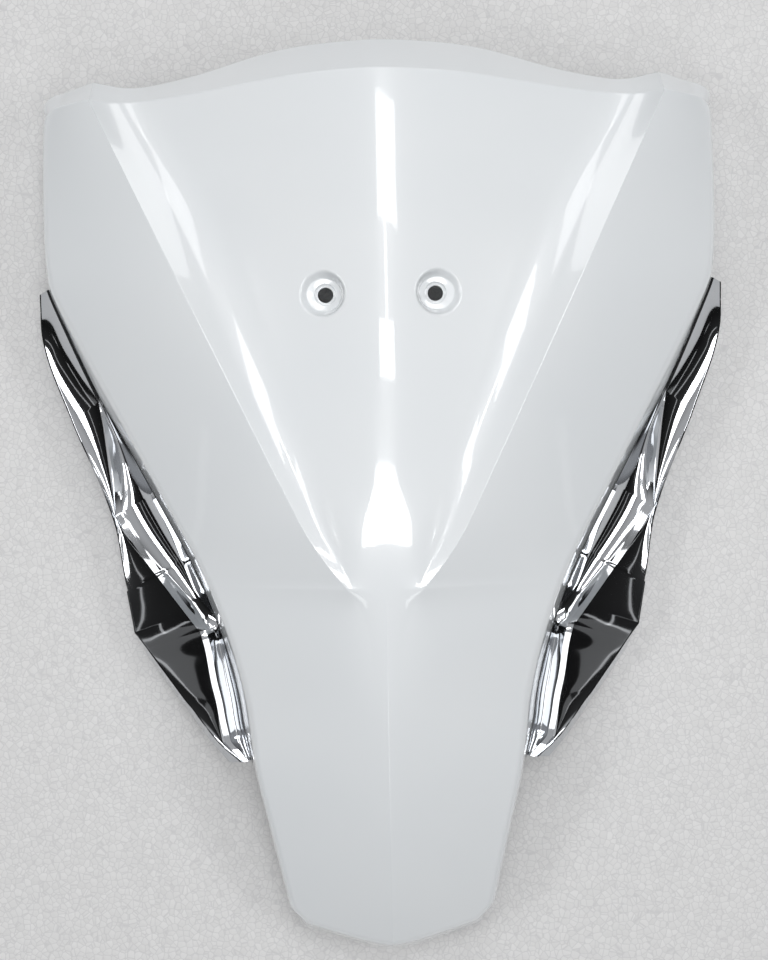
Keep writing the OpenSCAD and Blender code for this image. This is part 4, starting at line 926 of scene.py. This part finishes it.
def zincSteel():
    # cold-headed steel screws, zinc plated: satin blue-grey with faint yellow patches
    look = {"zinc": "#b9bcbf", "warm": "#b3ae9c", "patchMm": 3, "roughMin": 0.28, "roughMax": 0.45}
    material, tree, shader, place = newMaterial("zincPlatedSteel")
    patch = addNode(tree, "ShaderNodeTexNoise", {"Scale": 1000 / look["patchMm"], "Detail": 3.0},
                    {"Vector": place})
    ramp = addNode(tree, "ShaderNodeValToRGB", links={"Fac": patch.outputs["Fac"]})
    ramp.color_ramp.elements[0].position, ramp.color_ramp.elements[1].position = 0.4, 0.7
    ramp.color_ramp.elements[0].color = linearColour(look["zinc"])
    ramp.color_ramp.elements[1].color = linearColour(look["warm"])
    tree.links.new(ramp.outputs["Color"], shader.inputs["Base Color"])
    rough = addNode(tree, "ShaderNodeMapRange", {"To Min": look["roughMin"], "To Max": look["roughMax"]},
                    {"Value": patch.outputs["Fac"]})
    tree.links.new(rough.outputs["Result"], shader.inputs["Roughness"])
    shader.inputs["Metallic"].default_value = 1.0
    return material


def foamSheet():
    # polystyrene packing sheet: pale matt grey-white beads about 4 mm across with thin darker joints,
    # each bead a little lighter or darker than the next
    look = {"light": "#d9d9d9", "dark": "#d0d0d0", "joint": "#c6c6c7", "beadMm": 3.5, "jointShare": 0.09}
    # a Mix node's colour sockets go by number, because they share their names with its other sockets
    colourA, colourB, colourOut = 6, 7, 2
    material, tree, shader, place = newMaterial("polystyreneSheet")
    scale = 1000 / look["beadMm"]
    beads = addNode(tree, "ShaderNodeTexVoronoi", {"Scale": scale, "feature": "F1"}, {"Vector": place})
    joints = addNode(tree, "ShaderNodeTexVoronoi", {"Scale": scale, "feature": "DISTANCE_TO_EDGE"},
                     {"Vector": place})
    tone = addNode(tree, "ShaderNodeMix", {"data_type": "RGBA"}, {"Factor": beads.outputs["Color"]})
    tone.inputs[colourA].default_value = linearColour(look["dark"])
    tone.inputs[colourB].default_value = linearColour(look["light"])
    line = addNode(tree, "ShaderNodeMapRange", {"From Max": look["jointShare"]},
                   {"Value": joints.outputs["Distance"]})
    face = addNode(tree, "ShaderNodeMix", {"data_type": "RGBA"}, {"Factor": line.outputs["Result"]})
    face.inputs[colourA].default_value = linearColour(look["joint"])
    tree.links.new(tone.outputs[colourOut], face.inputs[colourB])
    tree.links.new(face.outputs[colourOut], shader.inputs["Base Color"])
    bump = addNode(tree, "ShaderNodeBump", {"Strength": 0.35, "Distance": 0.0008, "invert": True},
                   {"Height": beads.outputs["Distance"]})
    tree.links.new(bump.outputs["Normal"], shader.inputs["Normal"])
    shader.inputs["Roughness"].default_value = 0.6
    return material


paint, chrome, zinc = paintedAbs(), chromedAbs(), zincSteel()
print("materials made")

shell = buildShell(paint)
ribs = buildBack(paint)
right, left = buildGarnish("garnishRight", 1, chrome), buildGarnish("garnishLeft", -1, chrome)
for piece, node, slot in ((shell, "nose_panel", "panel"), (ribs, "nose_panel", "panel"),
                          (right, "garnish_right", "garnish"), (left, "garnish_left", "garnish")):
    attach(piece, "root")
    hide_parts(node)
    print("piece", piece.name, len(piece.data.polygons), "faces")

# the screws keep their own solids and get the zinc finish
for name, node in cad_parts.items():
    if "screw" in name:
        node.data.materials.clear()
        node.data.materials.append(zinc)

# the floor sheet lies just under the part's lowest points
stage = {"floorW": 6000, "floorZ": -0.05}
edge, level = stage["floorW"] / 2, stage["floorZ"]
floor = makeMesh("floor", [[-edge, -edge, level], [edge, -edge, level], [edge, edge, level],
                           [-edge, edge, level]], [[0, 1, 2, 3]], foamSheet())


def areaLamp(name, place, aim, size, power):
    # a soft rectangular lamp at place, facing aim; metres and watts
    data = bpy.data.lights.new(name, "AREA")
    data.shape = "RECTANGLE"
    data.size, data.size_y = size
    data.energy = power
    lamp = bpy.data.objects.new(name, data)
    lamp.location = place
    # the lamp's X stays level along the room's X, so that its long edges lie across the part
    away = (Vector(place) - Vector(aim)).normalized()
    across = (Vector((1, 0, 0)) - away * away.x).normalized()
    lamp.rotation_euler = Matrix((across, away.cross(across), away)).transposed().to_euler()
    bpy.context.scene.collection.objects.link(lamp)
    return lamp


# Name: place, aim, size, watts. The lamps over the part are windows whose reflections lie on its middle
# line, its scoop walls and its garnishes; the sides and the front light the wings and the lower face from
# places that nothing on the face mirrors; frames, sills and walls are faint shapes for the plating.
lamps = {
    "strip": ((0.22, 0.70, 1.5), (0.22, 0.70, 0.1), (0.56, 0.28), 2.7),
    "slit": ((0.20, 0.455, 1.5), (0.20, 0.455, 0.1), (0.07, 0.20), 0.33),
    "skylight": ((0.15, 0.29, 1.5), (0.15, 0.29, 0.1), (0.44, 0.12), 1.0),
    "overhead": ((0.04, -0.07, 1.5), (0.04, -0.07, 0.1), (0.56, 0.26), 3.4),
    "windowLeft": ((-0.555, 1.75, 1.05), (0.0, 0.0, 0.1), (0.72, 0.80), 4.2),
    "windowRight": ((0.555, 1.75, 1.05), (0.0, 0.0, 0.1), (0.72, 0.80), 4.2),
    "windowTop": ((0.0, 1.40, 1.46), (0.0, 0.0, 0.1), (0.60, 0.42), 2.2),
    "sideLeft": ((-1.55, 0.02, 1.5), (-1.55, 0.02, 0.1), (0.70, 1.05), 13.8),
    "sideRight": ((1.55, 0.02, 1.5), (1.55, 0.02, 0.1), (0.70, 1.05), 13.8),
    "front": ((0.0, -1.45, 1.5), (0.0, -1.45, 0.1), (1.0, 1.2), 8.0),
    "frameLeft": ((-2.2, -0.75, 0.85), (0.0, 0.0, 0.1), (0.05, 0.9), 0.07),
    "frameRight": ((2.2, -0.75, 0.85), (0.0, 0.0, 0.1), (0.05, 0.9), 0.07),
    "sillLeft": ((-2.2, -1.05, 0.55), (0.0, 0.0, 0.1), (1.0, 0.05), 0.08),
    "sillRight": ((2.2, -1.05, 0.55), (0.0, 0.0, 0.1), (1.0, 0.05), 0.08),
    "wallLeft": ((-3.0, -1.6, 0.6), (0.0, 0.0, 0.1), (0.9, 0.5), 0.17),
    "wallRight": ((3.0, -1.6, 0.6), (0.0, 0.0, 0.1), (0.9, 0.5), 0.17),
}
for lampName, (place, aim, size, power) in lamps.items():
    areaLamp(lampName, place, aim, size, power)

world = bpy.data.worlds.new("room")
bpy.context.scene.world = world
world.use_nodes = True
tree = world.node_tree
tree.nodes.clear()
sky = addNode(tree, "ShaderNodeTexCoord").outputs["Generated"]
split = addNode(tree, "ShaderNodeSeparateXYZ", links={"Vector": sky})
# dark far walls up to a height of about 45 degrees, then a pale ceiling: sine of the height, then grey
ceiling = {"horizon": (0.10, 0.010), "wallTop": (0.70, 0.035), "ceilingEdge": (0.85, 0.40),
           "zenith": (0.93, 0.52)}
rise = addNode(tree, "ShaderNodeValToRGB", links={"Fac": split.outputs["Z"]})
while len(rise.color_ramp.elements) < len(ceiling):
    rise.color_ramp.elements.new(0.5)
for stop, (height, grey) in zip(rise.color_ramp.elements, ceiling.values()):
    stop.position, stop.color = height, (grey, grey, grey * 1.01, 1)
glow = addNode(tree, "ShaderNodeBackground", {"Strength": 1.0}, {"Color": rise.outputs["Color"]})
addNode(tree, "ShaderNodeOutputWorld", links={"Surface": glow.outputs["Background"]})

# straight above the part, as in the photograph, a little turned
cameraSetup = {"lens": 52.5, "sensor": 36, "place": (0.0, 0.0155, 0.85), "roll": -1.1}
cameraData = bpy.data.cameras.new("camera")
cameraData.lens = cameraSetup["lens"]
cameraData.sensor_width = cameraSetup["sensor"]
cameraData.clip_start = 0.01
camera = bpy.data.objects.new("camera", cameraData)
camera.location = cameraSetup["place"]
camera.rotation_euler = (0, 0, math.radians(cameraSetup["roll"]))
bpy.context.scene.collection.objects.link(camera)
bpy.context.scene.camera = camera
bpy.context.scene.view_settings.view_transform = "Standard"
print("stage, lamps and camera set")
